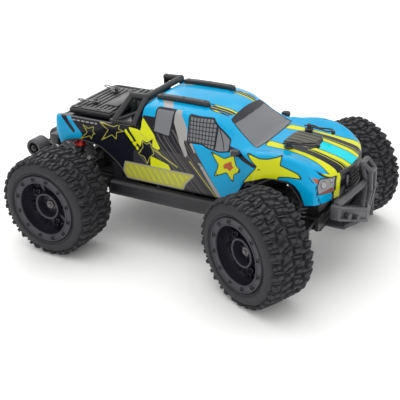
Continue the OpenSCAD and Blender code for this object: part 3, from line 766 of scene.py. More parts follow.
# Stars of the livery that are drawn as thin outlines, in side view as (x, z)
BLACK_STAR = (
    (-46, 141), (-45, 132), (-53.5, 122), (-44, 120.5), (-41, 111), (-36, 121), (-28, 127.5),
    (-33, 133), (-34, 140), (-40, 137),
)
STARS = (
    ((-139, 128.5), (-127, 139), (-134, 148), (-125, 144.5), (-117, 148), (-118.5, 141),
     (-114, 139.5), (-119, 137.5), (-121.5, 130.5), (-123.5, 135)),
    ((-106, 132), (-95, 147), (-109, 155), (-87, 152), (-79, 156), (-80, 150),
     (-72, 148.5), (-83, 145.5), (-84, 136), (-90, 141.5)),
    BLACK_STAR,
)
STAR_LINE = 0.8

# Livery in side view, as (x, z)
SIDE_INK = {
    "black": (
        ((-157, 158), (-52, 158), (-47, 171), (-29, 171), (-28, 184), (-3, 184), (-3, 168), (16, 150),
         (24, 148.5), (62, 84), (62, 80), (-145, 80), (-145, 124), (-141, 127), (-135, 135)),
        ((-170, 155), (-161, 155), (-146.5, 138.5), (-148, 134)),
        # The third is black paint along the front wheel arch's edge: partly the arch's dark lip, partly
        # painted shade from inside the arch.
        ((84, 99), (91.5, 112), (110, 121), (121, 125.5), (137, 127.5), (150, 127.5), (158, 124),
         (164.5, 117), (168.5, 107), (170.5, 99)),
    ),
    "charcoal": (
        ((-60, 127), (-30, 133), (30, 133), (58, 90), (58, 80), (-50, 80), (-62, 100)),
    ),
    "silver": (
        ((-3, 182), (4, 182), (15, 164), (16.5, 150), (12, 150), (19, 131), (14, 130), (-3.5, 168.5)),
        ((20, 149), (24, 148), (29, 138), (27, 137)),
        ((31, 126), (36, 125), (62.5, 84), (56.5, 84)),
    ),
    "yellow": (
        ((-66, 155), (-51, 156), (-47, 168.5), (-27, 148), (-39, 139.5), (-46, 142), (-49, 132)),
        ((-72, 150), (-69, 152.5), (-51, 130), (-53, 126)),
        ((-30, 152), (-25, 143), (-19, 132), (-32, 134), (-31, 142)),
        ((-35, 122), (-30, 121.5), (-10, 115.5), (-6, 107), (-36, 109)),
        ((96.5, 148), (113, 145.5), (123, 147), (130, 149.5), (138.5, 152.5), (138.3, 143),
         (150, 140), (160, 136.5), (166, 132.8), (150, 133), (138, 131), (136.5, 127.5),
         (121, 126), (110, 121.5), (91.5, 112.5), (101, 124.5), (109, 133.5), (118, 132.5), (104, 141)),
        ((50.5, 142.5), (60.5, 128), (54, 113.5), (70, 121.5), (77.5, 111), (79, 121), (89, 126),
         (82, 131), (79, 143), (67, 137)),
        ((193.6, 100), (196.4, 100), (196.6, 131), (185, 137.6), (175, 142.6), (185, 135), (193.6, 129)),
    ),
    "over": (
        BLACK_STAR,
        ((70, 152), (84, 149), (98, 141.5), (118, 133), (103, 134.5), (92, 138), (84, 143), (72, 146)),
        ((171, 135.4), (172.4, 134.8), (181.8, 126), (183.3, 118), (186.6, 102), (185.2, 102), (182, 118),
         (180.6, 125.6)),
        ((197.2, 100), (203, 100), (203, 136), (197.2, 134)),
    ),
    "glass": (
        ((-28, 180.5), (-5, 180.5), (-9, 152), (-30, 155)),
        ((17.5, 179), (45, 176.5), (54, 168), (69, 157), (71, 147), (60, 145), (45, 147), (36, 150),
         (17.5, 149.5)),
    ),
    "banner": (
        ((-73, 107.5), (24, 107.5), (12, 95), (8, 86.5), (-72, 86.5), (-78, 91)),
    ),
    "orange": (
        ((62, 131.5), (67, 128), (66, 124), (70.5, 126), (75, 122.5), (76, 126.5), (80, 129),
         (77, 131), (76.5, 136), (71, 133)),
        ((175, 134.2), (183, 132.4), (182, 127.2)),
    ),
    "lens": (
        ((183.4, 132), (193.4, 129), (193.6, 113), (184.6, 116), (183, 124.5)),
    ),
    "red": (
        ((188, 117), (193.4, 118), (193.4, 112), (184.8, 115.6)),
    ),
}

# The same in top view, as (x, distance from the middle)
TOP_INK = {
    "silver": (
        ((-47, 18), (-24, 27), (-3, 60), (-14, 62), (-40, 26), (-47, 22)),
    ),
    "yellow": (
        ((152, 12), (204, 11), (204, 18), (152, 19)),
        ((103, 22), (105, 36), (118, 36), (134, 35), (154, 37), (172, 41), (186, 48), (201, 48), (201, 38.5),
         (178, 33.5), (154, 30.6), (132, 29.0), (120, 24)),
        ((26, 25.4), (62, 21.6), (62, 24.2), (27, 27.4)),
        ((33, 36.6), (57, 33.2), (59, 35.4), (34, 38.4)),
    ),
    "over": (
        ((140, 21), (152, 19.4), (204, 18.4), (204, 38), (178, 33.1), (154, 30.2), (132, 28.6), (124, 24)),
        ((30, 28), (61, 25.2), (60, 32), (31, 35.8)),
    ),
    "cyan": (
        ((152, -1), (204, -1), (204, 10), (152, 10)),
    ),
    "scoop": (
        ((119, -1), (157, -1), (156, 12), (151, 21), (122, 21), (119, 16)),
    ),
    "glass": (
        ((63, -1), (63, 38), (76, 41.5), (99.5, 47.5), (102, 25), (103, -1)),
    ),
    "band": (
        ((61.5, -1), (61.5, 37.6), (67.5, 39.2), (70, 22), (71, -1)),
    ),
}

# Straight strokes as (start, end, width): on the sides as (x, z), and on the hood as (x, y)
SIDE_STROKES = (
    ((-30, 132), (3, 114.5), 1.6),
    ((20, 126), (55, 84), 1.3),
    ((-49, 151), (-20, 128), 0.9),
)
HOOD_STROKES = (
    ((124, 15), (203, 20.5), 0.9),
    ((146, 20.4), (203, 25.0), 0.9),
    ((31, 31.8), (60, 28.6), 0.8),
)
DASH_X = (-155, -112)
DASH_Z = 152.0
DASH_STEP = 7.0
DASH_WIDTH = 5.0
NET_START = (21, 151)
NET_STEP_X = 4.1
NET_STEP_Z = 4.6
NET_X = (15, 52.5)
PANE_X = (15, 80)
NET_BAR = 0.95
PANE_POST_X = (NET_X[1] + 5.6, NET_X[1] + 7.4)
PANE_STROKE = ((54.5, 167), (65.5, 146.5))
BANNER_STEP = 9.0
BANNER_BAR = 2.8
STREAK = (0.77, 0.64)
STREAK_X = (-50, 62)
STREAK_Z = (80, 160)
REAR_WINDOW = ((-1, 158), (41, 158), (37, 179), (-1, 180))
DOOR_GROOVES = (
    ((24, 148), (62, 84)),
    ((72, 146), (78, 120), (78, 92)),
    ((-30, 150), (-30, 90)),
)
FAR = 99.0

# Where the cab starts and ends, its back wall, and how far up the guides the sides reach
CAB_X = (-50, 97)
BACK_WALL_X = -58
CAB_SIDE_MARK = 5.02
BED_SIDE_MARK = 3.05
HOOD_SIDE_MARK = 3.4

# Relief of the shell
PANE_DEPTH = 0.7
LENS_DEPTH = 1.0
SCOOP_RISE = 1.5
SCOOP_RIB_RISE = 0.9
SCOOP_RIB_STEP = 5.2
SLOT_WIDTH = 1.3
GROOVE_DEPTH = 0.35
GROOVE_Y = 60


def monotone(xs, ys, x):
    """A smooth curve through the points that never overshoots them."""
    xs = np.asarray(xs, float)
    ys = np.asarray(ys, float)
    h = np.diff(xs)
    slope = np.diff(ys) / h
    m = np.zeros(len(xs))
    m[0] = slope[0]
    m[-1] = slope[-1]
    for k in range(1, len(xs) - 1):
        if slope[k - 1] * slope[k] > 0:
            a = 2 * h[k] + h[k - 1]
            b = h[k] + 2 * h[k - 1]
            m[k] = (a + b) / (a / slope[k - 1] + b / slope[k])
    i = np.clip(np.searchsorted(xs, x) - 1, 0, len(h) - 1)
    t = (x - xs[i]) / h[i]
    return (
        (1 + 2 * t) * (1 - t) ** 2 * ys[i]
        + t * (1 - t) ** 2 * h[i] * m[i]
        + t * t * (3 - 2 * t) * ys[i + 1]
        + t * t * (t - 1) * h[i] * m[i + 1]
    )


def shell_guides(x):
    """The guide lines round the shell at every station, as an array of (station, guide, 2)."""
    xs = [s[0] for s in SECTIONS]
    half = np.zeros((len(x), GUIDES, 2))
    for i in range(GUIDES):
        for axis in range(2):
            half[:, i, axis] = monotone(xs, [s[1][i][axis] for s in SECTIONS], x)
    return half


def shell_grid():
    """Points (station, ring, 3) of the outer skin, and each ring point's place between the guides."""
    first = SECTIONS[0][0]
    last = SECTIONS[-1][0]
    x = np.linspace(first, last, int((last - first) / STATION_STEP) + 1)
    half = shell_guides(x)
    ring = np.concatenate((half * (-1, 1), half[:, -2::-1]), 1)
    radii = CORNER_ROUND + CORNER_ROUND[-2::-1]
    spans = SPANS + SPANS[::-1]
    columns = []
    marks = []
    n = ring.shape[1]
    start = ring[:, 0]
    for k in range(n - 1):
        a = ring[:, k]
        b = ring[:, k + 1]
        length = np.linalg.norm(b - a, axis=1)[:, None]
        toward = (b - a) / length
        stop = b if k == n - 2 else b - toward * np.minimum(radii[k + 1], 0.42 * length)
        for i in range(spans[k]):
            t = i / spans[k]
            columns.append(start + (stop - start) * t)
            marks.append(k + t)
        if k < n - 2:
            c = ring[:, k + 2]
            ahead = np.linalg.norm(c - b, axis=1)[:, None]
            onward = b + (c - b) / ahead * np.minimum(radii[k + 1], 0.42 * ahead)
            for i in range(ROUND_STEPS):
                t = i / ROUND_STEPS
                columns.append(stop * (1 - t) ** 2 + 2 * t * (1 - t) * b + onward * t * t)
                marks.append(k + 1 + (t - 0.5) * 0.02)
            start = onward
    columns.append(ring[:, -1])
    marks.append(n - 1)
    yz = np.stack(columns, 1)
    grid = np.concatenate((np.repeat(x[:, None, None], yz.shape[1], 1), yz), 2)
    marks = np.array(marks)
    return grid, np.minimum(marks, n - 1 - marks)


def polygon_distance(p, polygon):
    """Signed distance of the points p (n, 2) to a polygon's outline, negative inside it."""
    corners = np.asarray(polygon, float)
    inside = np.zeros(len(p), bool)
    nearest = np.full(len(p), 1e9)
    for a, b in zip(corners, np.roll(corners, -1, 0)):
        nearest = np.minimum(nearest, segment_distance(p, a, b))
        crosses = (a[1] > p[:, 1]) != (b[1] > p[:, 1])
        if a[1] != b[1]:
            inside ^= crosses & (p[:, 0] < (b[0] - a[0]) * (p[:, 1] - a[1]) / (b[1] - a[1]) + a[0])
    return np.where(inside, -nearest, nearest)


def segment_distance(p, a, b):
    a = np.asarray(a, float)
    d = np.asarray(b, float) - a
    t = np.clip(((p - a) @ d) / (d @ d), 0, 1)
    return np.linalg.norm(p - a - t[:, None] * d, axis=1)


def path_distance(p, points):
    return np.min([segment_distance(p, a, b) for a, b in zip(points, points[1:])], axis=0)


def region(points, polygons):
    return np.min([polygon_distance(points, q) for q in polygons], axis=0)


def livery(grid, marks):
    """For each ink, the distance in millimetres of every skin point to its edge, negative inside."""
    p = grid.reshape(-1, 3)
    mark = np.tile(marks, grid.shape[0])
    x, y, z = p[:, 0], np.abs(p[:, 1]), p[:, 2]
    side_view = np.stack((x, z), 1)
    top_view = np.stack((x, y), 1)
    end_view = np.stack((y, z), 1)
    on_cab = (x > CAB_X[0]) & (x < CAB_X[1])
    on_bed = x < CAB_X[0]
    reach = np.where(on_cab, CAB_SIDE_MARK, np.where(on_bed, BED_SIDE_MARK, HOOD_SIDE_MARK))
    on_side = mark <= reach
    cab_back = on_bed & (x > BACK_WALL_X) & ~on_side
    inks = {}
    for name in sorted(set(SIDE_INK) | set(TOP_INK)):
        d = np.full(len(p), FAR)
        if name in SIDE_INK:
            d = np.where(on_side, region(side_view, SIDE_INK[name]), d)
        if name in TOP_INK:
            d = np.where(on_side, d, region(top_view, TOP_INK[name]))
        inks[name] = d
    bed = on_bed & ~on_side
    inks["black"] = np.where(bed, -3.0, inks["black"])
    inks["glass"] = np.where(cab_back, region(end_view, (REAR_WINDOW,)), inks["glass"])
    inks["stars"] = np.where(on_side, region(side_view, STARS), FAR)
    inks["side"] = on_side.astype(float)
    return inks


def smooth_step(value, low, high):
    t = np.clip((value - low) / (high - low), 0, 1)
    return t * t * (3 - 2 * t)


def relief(grid, inks):
    """How far each skin point stands out: sunk panes and grooves, and a raised hood scoop."""
    p = grid.reshape(-1, 3)
    x, y, z = p[:, 0], np.abs(p[:, 1]), p[:, 2]
    height = -PANE_DEPTH * (1 - smooth_step(inks["glass"], -1.2, 0.3))
    height -= LENS_DEPTH * (1 - smooth_step(inks["lens"], -0.8, 0.6))
    scoop = 1 - smooth_step(inks["scoop"], -1.6, 0.4)
    ribs = 0.5 + 0.5 * np.cos(2 * math.pi * y / SCOOP_RIB_STEP)
    height += scoop * (SCOOP_RISE + SCOOP_RIB_RISE * ribs * (inks["scoop"] < -2.5))
    side_view = np.stack((x, z), 1)
    for groove in DOOR_GROOVES:
        near = path_distance(side_view, groove)
        height -= GROOVE_DEPTH * (1 - smooth_step(near, 0.2, 1.2)) * (y > GROOVE_Y)
    return height.reshape(grid.shape[:2])


def grid_normals(grid):
    along = np.gradient(grid, axis=0)
    around = np.gradient(grid, axis=1)
    n = np.cross(around, along)
    return n / np.maximum(np.linalg.norm(n, axis=2), 1e-9)[..., None]


GRID, MARKS = shell_grid()
INKS = livery(GRID, MARKS)
NORMALS = grid_normals(GRID)
if NORMALS[GRID.shape[0] // 2, GRID.shape[1] // 2, 2] < 0:
    NORMALS = -NORMALS
SKIN = GRID + NORMALS * relief(GRID, INKS)[..., None]

PAINT_BLUE = (0.0, 0.34, 0.62)
PAINT_CYAN = (0.0, 0.58, 0.66)
PAINT_BLACK = (0.008, 0.008, 0.014)
PAINT_CHARCOAL = (0.032, 0.031, 0.037)
PAINT_SILVER = (0.33, 0.32, 0.31)
PAINT_YELLOW = (0.60, 0.64, 0.008)
PAINT_OLIVE = (0.40, 0.39, 0.07)
PANE = (0.17, 0.175, 0.185)

# Inks in the order of painting: name, colour, keyline colour and width (or none)
LAYERS = (
    ("black", PAINT_BLACK, None, 0),
    ("charcoal", PAINT_CHARCOAL, None, 0),
    ("streaks", (0.085, 0.078, 0.072), None, 0),
    ("silver", PAINT_SILVER, None, 0),
    ("yellow", PAINT_YELLOW, PAINT_BLACK, 1.2),
    ("over", PAINT_BLACK, None, 0),
    ("lines", PAINT_OLIVE, None, 0),
    ("orange", (0.42, 0.10, 0.03), None, 0),
    ("banner", PAINT_OLIVE, (0.30, 0.29, 0.24), 1.6),
    ("bars", (0.50, 0.54, 0.04), None, 0),
    ("cyan", PAINT_CYAN, None, 0),
    ("hood_lines", PAINT_YELLOW, None, 0),
    ("glass", PANE, PAINT_BLACK, 1.5),
    ("band", PAINT_CHARCOAL, None, 0),
    ("net", PAINT_BLACK, None, 0),
    ("scoop", (0.045, 0.043, 0.041), PAINT_BLACK, 0.8),
    ("slots", (0.16, 0.15, 0.09), None, 0),
    ("lens", (0.25, 0.25, 0.26), PAINT_BLACK, 1.0),
    ("red", (0.20, 0.07, 0.06), None, 0),
)
EDGE = 0.3


def drawn_inks(g):
    """Distances to the fine lines of the livery, worked out from the place on the shell."""
    place = g.coordinates()
    axes = [g.node("SeparateXYZ", {"Vector": place}, i) for i in range(3)]
    x = g.maths("MULTIPLY_ADD", axes[0], 1 / MM, -MID_X / MM)
    y = g.maths("ABSOLUTE", g.maths("MULTIPLY", axes[1], 1 / MM))
    z = g.maths("MULTIPLY", axes[2], 1 / MM)
    off_side = g.maths("MULTIPLY_ADD", g.attribute("ink_side"), -2 * FAR, FAR)
    off_top = g.maths("MULTIPLY_ADD", g.attribute("ink_side"), 2 * FAR, -FAR)

    def level(value, low, high):
        middle = g.maths("ABSOLUTE", g.maths("SUBTRACT", value, (low + high) / 2))
        return g.maths("SUBTRACT", middle, (high - low) / 2)

    def every(*distances):
        found = distances[0]
        for other in distances[1:]:
            found = g.maths("MAXIMUM", found, other)
        return found

    stars = g.maths("SUBTRACT", g.maths("ABSOLUTE", g.attribute("ink_stars")), STAR_LINE / 2)
    strokes = g.nearest([stars] + [g.line(x, z, a, b, w) for a, b, w in SIDE_STROKES])
    dashes = every(g.stripes(x, DASH_X[0], DASH_STEP, DASH_WIDTH), level(z, DASH_Z - 0.7, DASH_Z + 0.7))
    dashes = every(dashes, level(x, *DASH_X))
    lean_x = g.maths("MULTIPLY_ADD", z, 0.04, x)
    lean_z = g.maths("MULTIPLY_ADD", x, 0.03, z)
    upright = g.stripes(lean_x, NET_START[0], NET_STEP_X, NET_BAR)
    level_bars = g.stripes(lean_z, NET_START[1], NET_STEP_Z, NET_BAR)
    mesh = every(g.nearest([upright, level_bars]), level(x, *NET_X))
    post = level(lean_x, *PANE_POST_X)
    net = every(g.nearest([mesh, post, g.line(x, z, *PANE_STROKE, 1.0)]), g.attribute("ink_glass"))
    slant = g.maths("MULTIPLY_ADD", z, 0.55, x)
    bars = every(g.stripes(slant, 0, BANNER_STEP, BANNER_BAR), g.maths("ADD", g.attribute("ink_banner"), 2.5))
    across = g.maths("MULTIPLY_ADD", x, STREAK[0], g.maths("MULTIPLY", z, STREAK[1]))
    brush = g.node("TexNoise", {"W": across, "Scale": 0.35, "Detail": 3.0}, noise_dimensions="1D")
    streaks = every(g.ramp(brush, 0.52, 0.60, 1.0, -1.0), level(x, *STREAK_X), level(z, *STREAK_Z))
    streaks = every(streaks, g.attribute("ink_black"))
    hood = g.nearest([g.line(x, y, a, b, w) for a, b, w in HOOD_STROKES])
    scoop = g.maths("ADD", g.attribute("ink_scoop"), 2.2)
    slots = every(g.stripes(y, SCOOP_RIB_STEP / 2, SCOOP_RIB_STEP, SLOT_WIDTH), scoop)
    return {
        "lines": every(strokes, off_side),
        "silver": g.nearest([g.attribute("ink_silver"), every(dashes, off_side)]),
        "net": every(net, off_side, level(x, *PANE_X)),
        "bars": every(bars, off_side),
        "streaks": every(streaks, off_side),
        "hood_lines": every(hood, off_top),
        "slots": every(slots, off_top),
    }


def paint_material():
    """Glossy lacquer whose livery follows the ink distances stored on the shell."""
    g = Graph("body_paint", Coat_Weight=0.22, Coat_Roughness=0.03, Specular_IOR_Level=0.10)
    drift = g.ramp(g.noise(9.0, 2.0), 0.3, 0.7)
    colour = g.mix(drift, scaled(PAINT_BLUE, 0.93), scaled(PAINT_BLUE, 1.07))
    drawn = drawn_inks(g)
    for name, ink, key, width in LAYERS:
        distance = drawn.get(name) or g.attribute("ink_" + name)
        if key:
            colour = g.mix(g.ramp(distance, width + EDGE, width - EDGE), colour, key)
        colour = g.mix(g.ramp(distance, EDGE, -EDGE), colour, ink)
    g.colour(colour)
    pane = g.ramp(g.attribute("ink_glass"), EDGE, -EDGE)
    scoop = g.ramp(g.attribute("ink_scoop"), EDGE, -EDGE)
    satin = g.maths("MAXIMUM", pane, scoop)
    fine = g.noise(260.0, 2.0)
    rough = g.maths("ADD", g.ramp(fine, 0.3, 0.7, 0.16, 0.24), g.maths("MULTIPLY", satin, 0.2))
    g.roughness(rough)
    g.bump(fine, 0.03 * MM)
    return g.material


def add_shell(materials):
    """The painted shell, with a thin skin of its own and a dark inside."""
    stations, around, _ = SKIN.shape
    mesh = bpy.data.meshes.new("painted_shell")
    points = [at(*p) for p in SKIN.reshape(-1, 3)]
    faces = []
    for s in range(stations - 1):
        for i in range(around - 1):
            a = s * around + i
            faces.append((a, a + 1, a + 1 + around, a + around))
    mesh.from_pydata(points, [], faces)
    tidy_mesh(mesh, 50)
    for name, distance in INKS.items():
        layer = mesh.attributes.new("ink_" + name, "FLOAT", "POINT")
        layer.data.foreach_set("value", distance.astype(np.float32))
    mesh.materials.append(materials["paint"])
    mesh.materials.append(materials["lining"])
    shell = enlist("painted_shell", mesh, None, "chassis", ["body_shell"])
    skin = shell.modifiers.new("skin", "SOLIDIFY")
    skin.thickness = SHELL_SKIN * MM
    skin.offset = -1
    skin.material_offset = 1
    skin.material_offset_rim = 1


# ---- chassis pieces that keep their CAD shape ----


def soften(node, width):
    """Rounds the edges of a CAD node a little, as a mould does."""
    bevel = frame["nodes"][node].modifiers.new("edges", "BEVEL")
    bevel.width = width * MM
    bevel.segments = 2
    bevel.limit_method = "ANGLE"
    bevel.angle_limit = math.radians(50)


def clad(node, material, width=0.0):
    made = frame["nodes"][node]
    made.data.materials.clear()
    made.data.materials.append(material)
    made.data.shade_smooth()
    made.data.set_sharp_from_angle(angle=math.radians(SHARP_ANGLE))
    if width:
        soften(node, width)


# CAD nodes that stay, as (material, start of the name, ends of the name)
CARRIED = (
    ("nylon", "lower_arm_", CORNERS),
    ("steel", "upper_link_", CORNERS),
    ("shock", "shock_body_", CORNERS),
    ("steel", "shock_rod_", CORNERS),
    ("steel", "half_shaft_", CORNERS),
    ("nylon", "caster_block_", ("fl", "fr")),
    ("nylon", "steering_knuckle_", ("fl", "fr")),
    ("nylon", "hub_carrier_", ("rl", "rr")),
    ("nylon", "front_", ("gearbox", "shock_tower")),
    ("nylon", "rear_", ("gearbox", "shock_tower")),
    ("steel", "tie_rod_", ("l", "r")),
    ("nylon", "", ("steering_link", "wheelie_bar")),
    ("case", "", ("steering_servo", "electronics_box")),
    ("can", "motor", ("",)),
    ("brass", "motor_pinion", ("",)),
    ("gear", "centre_shaft", ("",)),
    ("battery", "battery_pack", ("",)),
)


def clad_chassis(materials):
    for key, start, ends in CARRIED:
        for end in ends:
            clad(start + end, materials[key])
    clad("chassis_pan", materials["tub"], 0.6)


# ---- bumper ----

NOSE_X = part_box("front_bumper")[1].x / MM - MID_X / MM


def add_bumper(materials):
    """Two deep beams swept back from a narrow prow that leans forward, and a braced crest over it."""
    s = Shape()
    t = NOSE_X
    s.block((172.4, -20, 52), (t - 26, 20, 56), 1.5)
    for y in SIDES:
        knee = (t - 8.5, y * 4.5, 113)
        crest = (t - 13, y * 8, 135.4)
        front = (t - 3.6, y * 6, 126.6)
        brow = (t - 3.2, y * 6, 102)
        s.beam((200, y * 60, 93.5), (t - 8.5, y * 6, 72), 6, 15, 2.0, 1.2)
        s.beam((202.5, y * 59, 101.2), (t - 7.5, y * 7, 80), 10, 3.4, 1.2, 1.0)
        s.beam((202.5, y * 59, 86.4), (t - 7.5, y * 7, 65), 10, 3.4, 1.2, 1.0)
        s.block((196, y * 58 - 4, 85), (207, y * 58 + 4, 102.6), 1.8)
        s.beam((202, y * 56, 101.6), knee, 6.5, 6.5, 1.6)
        s.beam((t - 9.5, y * 14, 82), knee, 5, 6, 1.4)
        s.beam(knee, crest, 5.5, 5.5, 1.5)
        s.beam(knee, front, 5.0, 5.0, 1.5)
        s.beam(crest, front, 6.0, 5.0, 1.6)
        s.beam((t - 10.5, y * 6, 64), brow, 5.4, 5.4, 1.5)
        s.beam(brow, front, 5.0, 5.0, 1.4)
        s.beam((t - 29, y * 15, 55), (t - 11, y * 8, 66), 7, 6, 1.8)
        s.rod((209, y * 44, 86), (215, y * 46.8, 86), 3.4)
        s.rod((214, y * 30, 79), (220, y * 32.6, 79), 2.8)
    s.block((t - 13, -8, 62), (t - 5.5, 8, 82), 2.4)
    s.block((t - 6.5, -8, 124), (t - 0.6, 8, 128.4), 1.8)
    s.block((t - 16.5, -10, 132.8), (t - 10, 10, 138.4), 2.0)
    add_piece("bull_bar", s, materials["bumper"], "chassis", ["front_bumper"])


# ---- bed, cage, roof rails and mirrors ----

CAGE_REAR = (-75, 40, 186)
CAGE_FRONT = (-53, 40, 187)
CAGE_FEET_X = (-89, -60)
TUBE_R = 4.0


def add_cage(materials):
    """A tube frame on each of the bed's rails, leaning in, and the cross tubes between them."""
    s = Shape()
    rear = np.array(CAGE_REAR, float)
    front = np.array(CAGE_FRONT, float)
    feet = [np.array((x, 62.0, 158.5)) for x in CAGE_FEET_X]
    for y in SIDES:
        flip = np.array((1, y, 1))
        for foot, top in zip(feet, (rear, front)):
            s.rod(foot * flip, top * flip, TUBE_R, 20, 0.6)
            s.ball(top * flip, TUBE_R + 0.5)
            s.block(foot * flip - (5, 4, 2.3), foot * flip + (5, 4, 2.2), 1.2)
        s.rod(rear * flip, front * flip, TUBE_R, 20, 0.6)
        s.beam(feet[0] * flip, feet[1] * flip, 5.4, 3.4, 1.2)
        brace = feet[1] + 0.45 * (front - feet[1])
        s.rod(feet[0] * flip, brace * flip, 1.8, 14)
    s.rod(front * (1, -1, 1), front, TUBE_R, 20, 0.6)
    low = feet[1] + 0.62 * (front - feet[1])
    s.rod(low * (1, -1, 1), low, 2.0, 16)
    add_piece("roll_cage", s, materials["tubes"], "chassis", ["bed_cage"])


CARGO = ((-98, -15, 150.5), (-66, 15, 176))


def add_cargo(materials):
    """The tall box under the cage, with a ribbed lid, straps and buckles."""
    (x0, y0, z0), (x1, y1, z1) = CARGO
    s = Shape()
    s.block((x0, y0, z0), (x1, y1, z1 - 5), 2.6)
    s.block((x0 - 0.8, y0 - 0.8, z1 - 6.5), (x1 + 0.8, y1 + 0.8, z1 - 1.2), 1.8)
    for i in range(4):
        a = x0 + 3.5 + 7.4 * i
        s.block((a, y0 + 2, z1 - 2), (a + 3.6, y1 - 2, z1), 0.9)
    for x in (x0 + 8, x1 - 8):
        for y in (y0 - 0.9, y1 - 0.3):
            s.block((x - 2.2, y, z0 + 3), (x + 2.2, y + 1.2, z1 - 4), 0.5)
            s.block((x - 3.2, y - 0.4, z1 - 11), (x + 3.2, y + 1.6, z1 - 7), 0.7)
    add_piece("cargo_box", s, materials["cargo"], "chassis")


BED_BOX_X = (-172, -106)
BED_FLOOR = 150.5


def add_bed_box(materials):
    """Ribbed cover in the bed, with a raised lid and two latches."""
    s = Shape()
    x0, x1 = BED_BOX_X
    s.block((x0, -47, BED_FLOOR), (x1, 47, 158.2), 2.0)
    for i in range(9):
        a = x0 + 3.0 + 6.9 * i
        s.block((a, -43.5, 157.5), (a + 5.0, 43.5, 160.4), 1.2)
    s.block((x1 - 22, -26, 157.5), (x1 - 3, 26, 162.4), 1.8)
    for y in SIDES:
        s.side_block(y, (x0 + 2, 37, 157.8), (x1 - 2, 45, 159.8), 1.0)
        for a in (-158, -128):
            s.rod((a, y * 41, 159), (a, y * 41, 161), 2.4)
    add_piece("bed_cover", s, materials["satin"], "chassis", ["bed_box"])


RAIL_X = (-43, 31)
RAIL_Y = (28, 36.5)
RAIL_TOP = 191.0
RAIL_H = 5.4
SCREW_TOP = 191.15


def roof_height(x, y):
    """Height of the shell's surface at (x, y)."""
    top = SKIN[:, SKIN.shape[1] // 4: -(SKIN.shape[1] // 4)].reshape(-1, 3)
    near = np.argmin((top[:, 0] - x) ** 2 + (top[:, 1] - y) ** 2)
    return top[near, 2]


def add_trim(materials):
    """Two thick skid rails that lie on the roof, and two door mirrors."""
    s = Shape()
    half = (RAIL_Y[1] - RAIL_Y[0]) / 2
    mid = RAIL_Y[0] + half
    x0, x1 = RAIL_X
    for y in SIDES:
        rings = []
        for t in np.linspace(0, 1, 29):
            x = x0 + (x1 - x0) * t
            end = max(0.0, 1 - min(x - x0, x1 - x) / half)
            shrink = math.sqrt(max(0.02, 1 - end * end))
            base = roof_height(x, mid) - 0.6
            top = min(base + RAIL_H + 0.6, RAIL_TOP) - 1.4 * (1 - shrink)
            outline = rounded_rectangle(2 * half * shrink, top - base, 1.8)
            rings.append([(x, y * mid + p[0], (top + base) / 2 + p[1]) for p in outline])
        s.loft(rings)
        for x in (x0 + 7, (x0 + x1) / 2, x1 - 7):
            top = min(roof_height(x, mid) + RAIL_H, RAIL_TOP) - 0.8
            head = ((2.6, 0), (2.6, 0.9), (2.0, 1.3), (1.0, 1.3), (0.9, 0.6))
            s.spindle(x, y * mid, [(r, min(top + z, SCREW_TOP)) for r, z in head], 16)
    add_piece("roof_rails", s, materials["tubes"], "chassis", ["body_trim"])
    m = Shape()
    for y in SIDES:
        m.beam((83, y * 60, 143.5), (83, y * 68, 147.5), 3.4, 6.5, 1.2)
        m.side_block(y, (78, 65, 144.5), (88, 74, 152.5), 2.6)
    add_piece("door_mirrors", m, materials["satin"], "chassis")
    glass = Shape()
    for y in SIDES:
        glass.side_block(y, (77.6, 66.4, 146.0), (78.5, 72.8, 151.2), 0.4)
    add_piece("mirror_glass", glass, materials["lamp"], "chassis")


# ---- posts and clips ----

FRONT_POST = (131, 30)
REAR_POST = (-145, 23)
FRONT_CLIP_Z = 153.5
REAR_CLIP_Z = 163.5


def add_posts(materials):
    """The posts that come through the hood and the bed, each with a washer."""
    s = Shape()
    for y in SIDES:
        for (x, half), low, high in ((FRONT_POST, 122, 157), (REAR_POST, 133, 166.5)):
            steps = ((2.9, 7), (2.4, 6.4), (2.4, 1.4), (2.0, 0.5), (1.2, 0))
            s.spindle(x, y * half, [(2.9, low)] + [(r, high - drop) for r, drop in steps], 18)
        x, half = FRONT_POST
        s.rod((x, y * half, 148.6), (x, y * half, 151.4), 5.2, 24, 0.8)
        x, half = REAR_POST
        s.rod((x, y * half, 160.6), (x, y * half, 161.9), 5.0, 24, 0.6)
    add_piece("mount_posts", s, materials["satin"], "chassis", ["body_posts"])


def add_tail_braces(materials):
    """Plates on both sides of the rear gearbox, which carry the posts and the wheelie bar."""
    s = Shape()
    for y in SIDES:
        s.side_block(y, (-191, 28.6, 86), (-151, 31.0, 110), 1.0)
        s.side_block(y, (-189, 22, 98), (-165, 29, 101), 1.0)
        for x in (-186, -172, -158):
            s.rod((x, y * 30.5, 104.5), (x, y * 32.4, 104.5), 2.2, 16)
    add_piece("tail_braces", s, materials["tub"], "chassis")


def clip_path(x, y, z, reach, turn):
    """A body clip: a straight leg through the post, a round eye and a bent leg outside it."""
    legs = (
        (-6.5, 0, 0), (0, 0, 0), (reach * 0.55, 0, 0.2), (reach * 0.82, -2.6, 0.9), (reach, 0.4, 1.6),
        (reach * 0.9, 4.2, 1.6), (reach * 0.66, 3.6, 1.2), (reach * 0.42, 1.8, 0.6), (reach * 0.2, 4.0, 0.4),
        (-1.5, 4.6, 0.2), (-6.0, 6.2, 0.2),
    )
    along = np.array((math.cos(turn), math.sin(turn), 0))
    across = np.array((-math.sin(turn), math.cos(turn), 0))
    return [np.array((x, y, z + c)) + a * along + b * across for a, b, c in smooth_path(legs, 7)]


